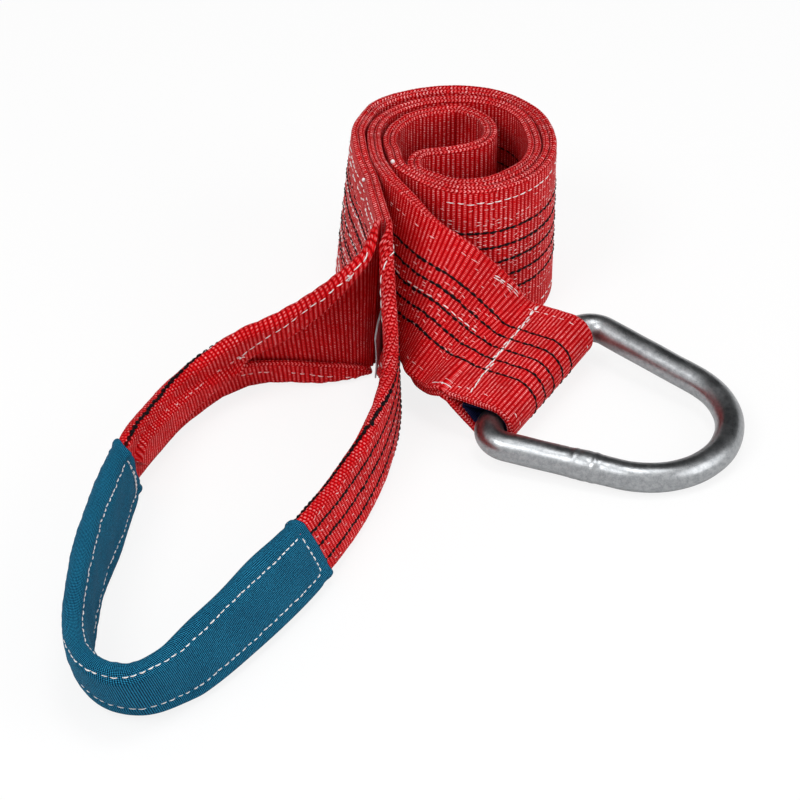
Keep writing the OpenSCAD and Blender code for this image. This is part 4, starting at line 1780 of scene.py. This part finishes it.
    def _eye_rows(self) -> list[Batch]:
        """Sew the rows near the folded-in edges of the eye.

        Returns:
            The rows.
        """
        low, high = self.edge_in, WEB_W - self.edge_in
        rows = []
        for seed, path, changes in (
                (120, [(7, 57), (15, 55), (30, 51.8), (42, 52.6), (54, 55)], {"missing": 0.0}),
                (122, [(54, 55), (75, 51.5), (100, 47)],
                 {"finish": 1, "missing": 0.3, "length": 1.7}),
                (123, [(6, low), (self.eye.s_in, low)],
                 {"finish": 1, "missing": 0.08, "length": 1.9, "sunk": 0.25})):
            rows.append(self._row(self.bold, seed, self.eye.cloth, path, self.leg_face, **changes))
        for v, seed in ((low, 124), (high, 126)):
            rows.append(self._straight(self.bold, seed, "leg", v))
            rows.append(self._straight(self.bold, seed + 1, "leg, inside", v))
        return rows + [self._straight(self.faint, 130 + k, "leg", v, finish=1)
                       for k, v in enumerate((20.4, 26.8, 33.2, 39.6))]

    def _throat(self) -> list[Batch]:
        """Sew the close rows that hold the eye's two ends together.

        Returns:
            The rows.
        """
        rows = []
        for k in range(self.throat_rows):
            v = 9 + k * self.throat_pitch
            rows.append(self._row(self.bold, 140 + k, self.strap.route,
                                  [(2, v), (self.strap.s_roll - 4, v + 0.8)], -self.face,
                                  pitch=2.9, length=2.2, radius=0.25, finish=k % 2, wander=0.3))
        return rows

    def _on_sleeve(self, seed: int, side: int, s: Array, height: Array) -> Batch:
        """Sew one row on a face of the sleeve, through points along and up the leg.

        Args:
            seed: which unevenness.
            side: 1 for the outer face, -1 for the inner one.
            s: distances along the leg.
            height: heights above its lower edge.

        Returns:
            The row.
        """
        path = list(zip(self.sleeve.slant(s, height - self.sleeve.mid, side < 0), height))
        return self._row(self.bold, seed, self.eye.route, path, self.sleeve.level(side),
                         self.eye.folded_w, pitch=2.75, length=2.1, radius=0.25, missing=0.0,
                         wander=0.05, sunk=0.25)

    def _sleeve_row(self, upper: bool) -> list[Batch]:
        """Sew one of the sleeve's long rows on both faces.

        Args:
            upper: whether it is the upper row.

        Returns:
            The row on each face.
        """
        s = np.linspace(self.eye.s_in + self.sleeve.end_row,
                        self.eye.s_out - self.sleeve.end_row, 60)
        return [self._on_sleeve(seed, side, s, self.sleeve.row(side, upper, s))
                for seed, side in ((151, 1), (152, -1))]

    def _sleeve_ends(self) -> list[Batch]:
        """Sew across the sleeve near its two cut ends, on both faces.

        Returns:
            The rows.
        """
        start, end = self.eye.s_in + self.sleeve.end_row, self.eye.s_out - self.sleeve.end_row
        rows = []
        for k, (s, side) in enumerate(((start, 1), (start, -1), (start + 1.3, -1),
                                       (end, 1), (end, -1))):
            height = np.linspace(self.sleeve.row(side, False, s),
                                 self.sleeve.row(side, True, s), 8)
            rows.append(self._on_sleeve(155 + k, side, np.full(8, s), height))
        return rows


@dataclass(frozen=True)
class Spot:
    """A place where a thread ends: a knot, with or without tails."""

    cloth: Route | FoldedRoute
    s: float
    share: float
    off: float
    knot: float
    tails: int = 0
    length: float = 0.0


@dataclass
class LooseEnds:
    """Short tails, tufts and knots where rows of thread end."""

    strap: Strap
    eye: Eye
    radius: float = 0.11
    steps: int = 12

    def _spots(self) -> list[Spot]:
        """List the places.

        Returns:
            The places, in the order of their draws.
        """
        leg, strap, end = self.eye.cloth, self.strap.route, self.strap.end
        return [Spot(leg, 14.5, 55 / WEB_W, 1.3, 0.4, 4, 3.6),
                Spot(leg, 54.5, 55 / WEB_W, 1.3, 0.4, 3, 2.4),
                Spot(strap, end - 3.4, 2.2 / WEB_W, 2.55, 0.4, 4, 1.8),
                Spot(strap, 256.0, 60.3 / WEB_W, -2.0, 0.85),
                Spot(strap, 28.5, 58.8 / WEB_W, -2.9, 0.7),
                Spot(self.eye.route, self.eye.s_in + 4.0, 2.6 / self.eye.folded_w, -3.9, 0.4, 4,
                     2.2)]

    def _tail(self, at: Array, out: Array, length: float, seed: int) -> Batch:
        """One wavy tail that leaves the cloth at a point.

        Args:
            at: the point.
            out: direction away from the cloth.
            length: length of the tail.
            seed: which shape.

        Returns:
            The tail.
        """
        rng = np.random.default_rng(seed)
        way = unit(out * 0.35 + rng.normal(0, 0.6, 3))
        path = [at]
        for _ in range(self.steps - 1):
            way = unit(way + rng.normal(0, 0.35, 3) - 0.12 * out)
            path.append(path[-1] + way * length / self.steps)
        centre = np.asarray(path)[None]
        return tubes(centre, np.broadcast_to(out, centre.shape),
                     np.full(centre.shape[:2], self.radius), 1.0)

    def _knot(self, at: Array, out: Array, radius: float) -> Batch:
        """One small round knot.

        Args:
            at: the point.
            out: direction away from the cloth.
            radius: half of the knot's width.

        Returns:
            The knot.
        """
        t = np.linspace(0, math.pi, 9)
        side = unit(np.cross(out, [0.3, 0.5, 0.8]))
        centre = at + side * (-np.cos(t) * radius)[:, None]
        return tubes(centre[None], np.broadcast_to(out, (1, 9, 3)),
                     (np.sin(t) * radius + 0.02)[None], 0.9, 8)

    def make(self, white: Material) -> None:
        """Make them all as one piece.

        Args:
            white: white thread.
        """
        batches = []
        for k, spot in enumerate(self._spots()):
            s, share = np.array([spot.s]), np.array([spot.share])
            at = spot.cloth.place(s, share, np.array([spot.off]))[0]
            out = spot.cloth.outward(s, share)[0] * np.sign(spot.off)
            batches += [self._tail(at, out, spot.length, 200 + 10 * k + j)
                        for j in range(spot.tails)]
            batches.append(self._knot(at, out, spot.knot))
        build("thread_tails", batches, [white])


# ---------------------------------------------------------------- studio

@dataclass
class Studio:
    """Camera, floor, lamps and a plain white room."""

    target: Triple = (-0.0065, 0.0312, 0.0)
    distance: float = 1.0
    elevation: float = 35.0
    lens: float = 129.6
    lamps: tuple[tuple[str, float, float, Triple], ...] = (
        ("key", 5.4, 0.55, (-0.55, -0.55, 0.95)), ("fill", 4.3, 0.9, (0.95, -0.35, 0.55)),
        ("top", 4.0, 0.5, (0.10, -0.10, 1.25)))
    lit_point: Triple = (-0.01, 0.0, 0.02)
    room: float = 0.42
    dark_wall: Colour = (0.035, 0.036, 0.038)
    floor_half: float = 3.0
    floor_at: float = -0.0004
    floor_seen: float = 0.84
    floor_mirrored: float = 0.15

    def camera(self) -> None:
        """Set up the camera."""
        data = bpy.data.cameras.new("camera")
        data.lens, data.sensor_width = self.lens, 36.0
        data.clip_start, data.clip_end = 0.02, 20
        eye = bpy.data.objects.new("camera", data)
        back, up = polar(self.distance, self.elevation)
        eye.location = (self.target[0], self.target[1] - back, self.target[2] + up)
        eye.rotation_euler = (math.pi / 2 - math.radians(self.elevation), 0, 0)
        bpy.context.scene.collection.objects.link(eye)
        bpy.context.scene.camera = eye

    def _lamp(self, name: str, power: float, size: float, place: Triple) -> None:
        """Add one soft lamp that faces the sling.

        Args:
            name: its name.
            power: its power in watts.
            size: its width in metres.
            place: where it hangs.
        """
        data = bpy.data.lights.new(name, "AREA")
        data.shape, data.size, data.energy = "DISK", size, power
        lamp = bpy.data.objects.new(name, data)
        lamp.location = place
        x, y, z = np.array(self.lit_point) - np.array(place)
        lamp.rotation_euler = (math.atan2(math.hypot(x, y), -z), 0, math.atan2(-x, y))
        bpy.context.scene.collection.objects.link(lamp)

    def light(self) -> None:
        """Hang the lamps, and make the room white, with a dark wall high up behind the sling."""
        for lamp in self.lamps:
            self._lamp(*lamp)
        world = bpy.data.worlds.new("room")
        world.use_nodes = True
        bpy.context.scene.world = world
        m = Nodes(world.node_tree)
        plain, white = m.nodes["Background"], m.add("Background")
        _, y, z = m.split(m.place("Generated"))
        wall = y.step(-0.1, 0.35) * z.step(0.14, 0.34)
        m.put(plain.inputs["Color"], (1, 1, 1))
        m.put(plain.inputs["Strength"], self.room)
        m.put(white.inputs["Color"], m.mix(wall, (1, 1, 1), self.dark_wall))
        camera, mirrored, through = m.seen()
        end = m.nodes["World Output"].inputs["Surface"]
        m.blend(camera | mirrored | through, plain, white, end)

    def floor(self) -> None:
        """Lay a pale floor that keeps the sling's shadow."""
        mesh = bpy.data.meshes.new("floor")
        corners = [(x * self.floor_half, y * self.floor_half, self.floor_at)
                   for x, y in ((-1, -1), (1, -1), (1, 1), (-1, 1))]
        mesh.from_pydata(corners, [], [(0, 1, 2, 3)])
        floor = bpy.data.objects.new("floor", mesh)
        bpy.context.scene.collection.objects.link(floor)
        m = Shader("pale_floor")
        m.finish((0.95, 0.95, 0.95), 0.9, Specular_IOR_Level=0.0)
        camera, mirrored, through = m.seen()
        seen = camera * self.floor_seen | (mirrored | through) * self.floor_mirrored
        glow = m.add("Emission")
        m.put(glow.inputs["Color"], (1, 1, 1))
        m.blend(seen, m.surface, glow, m.nodes["Material Output"].inputs["Surface"])
        mesh.materials.append(m.material)

    def make(self) -> None:
        """Set up the whole studio."""
        bpy.context.scene.view_settings.view_transform = "Standard"
        self.camera()
        self.light()
        self.floor()


def main() -> None:
    """Build the sling piece by piece."""
    logging.basicConfig(level=logging.INFO, format="%(message)s")
    Studio().make()
    red = WebbingFinish().make()
    blue = TwillFinish("sleeve_blue", (0.026, 0.285, 0.490), (0.0001, 0.004, 0.020)).make()
    navy = TwillFinish("lining_navy", (0.016, 0.020, 0.075), (0.004, 0.005, 0.02),
                       rough=0.8).make()
    grey = TwillFinish("label_grey", (0.72, 0.74, 0.76), (0.42, 0.44, 0.46), grain=0.3,
                       sheen=0.1).make()
    white = ThreadFinish("white_thread", (1.0, 0.99, 0.98), (0.74, 0.70, 0.70)).make()
    pale = ThreadFinish("pink_thread", (1.0, 0.74, 0.73), (0.72, 0.30, 0.30)).make()
    black = ThreadFinish("black_thread", (0.010, 0.010, 0.011), (0.002, 0.002, 0.003),
                         gloss=0.06).make()
    seat = RingSeat()
    strap = Strap(seat)
    strap.make(red)
    loop = RingLoop(seat, strap)
    loop.make(red, navy)
    eye = Eye()
    # The eye's webbing gets a weaker painted highlight
    eye.make(WebbingFinish("red_webbing_eye", shine=0.68, turned_from=396.0).make())
    sleeve = Sleeve(eye)
    sleeve.make(blue)
    Ring(seat).make(ZincFinish().make())
    LabelTab().make(grey)
    Stitching(strap, loop, eye, sleeve).make(white, pale, black)
    LooseEnds(strap, eye).make(white)


if __name__ == "__main__":
    main()
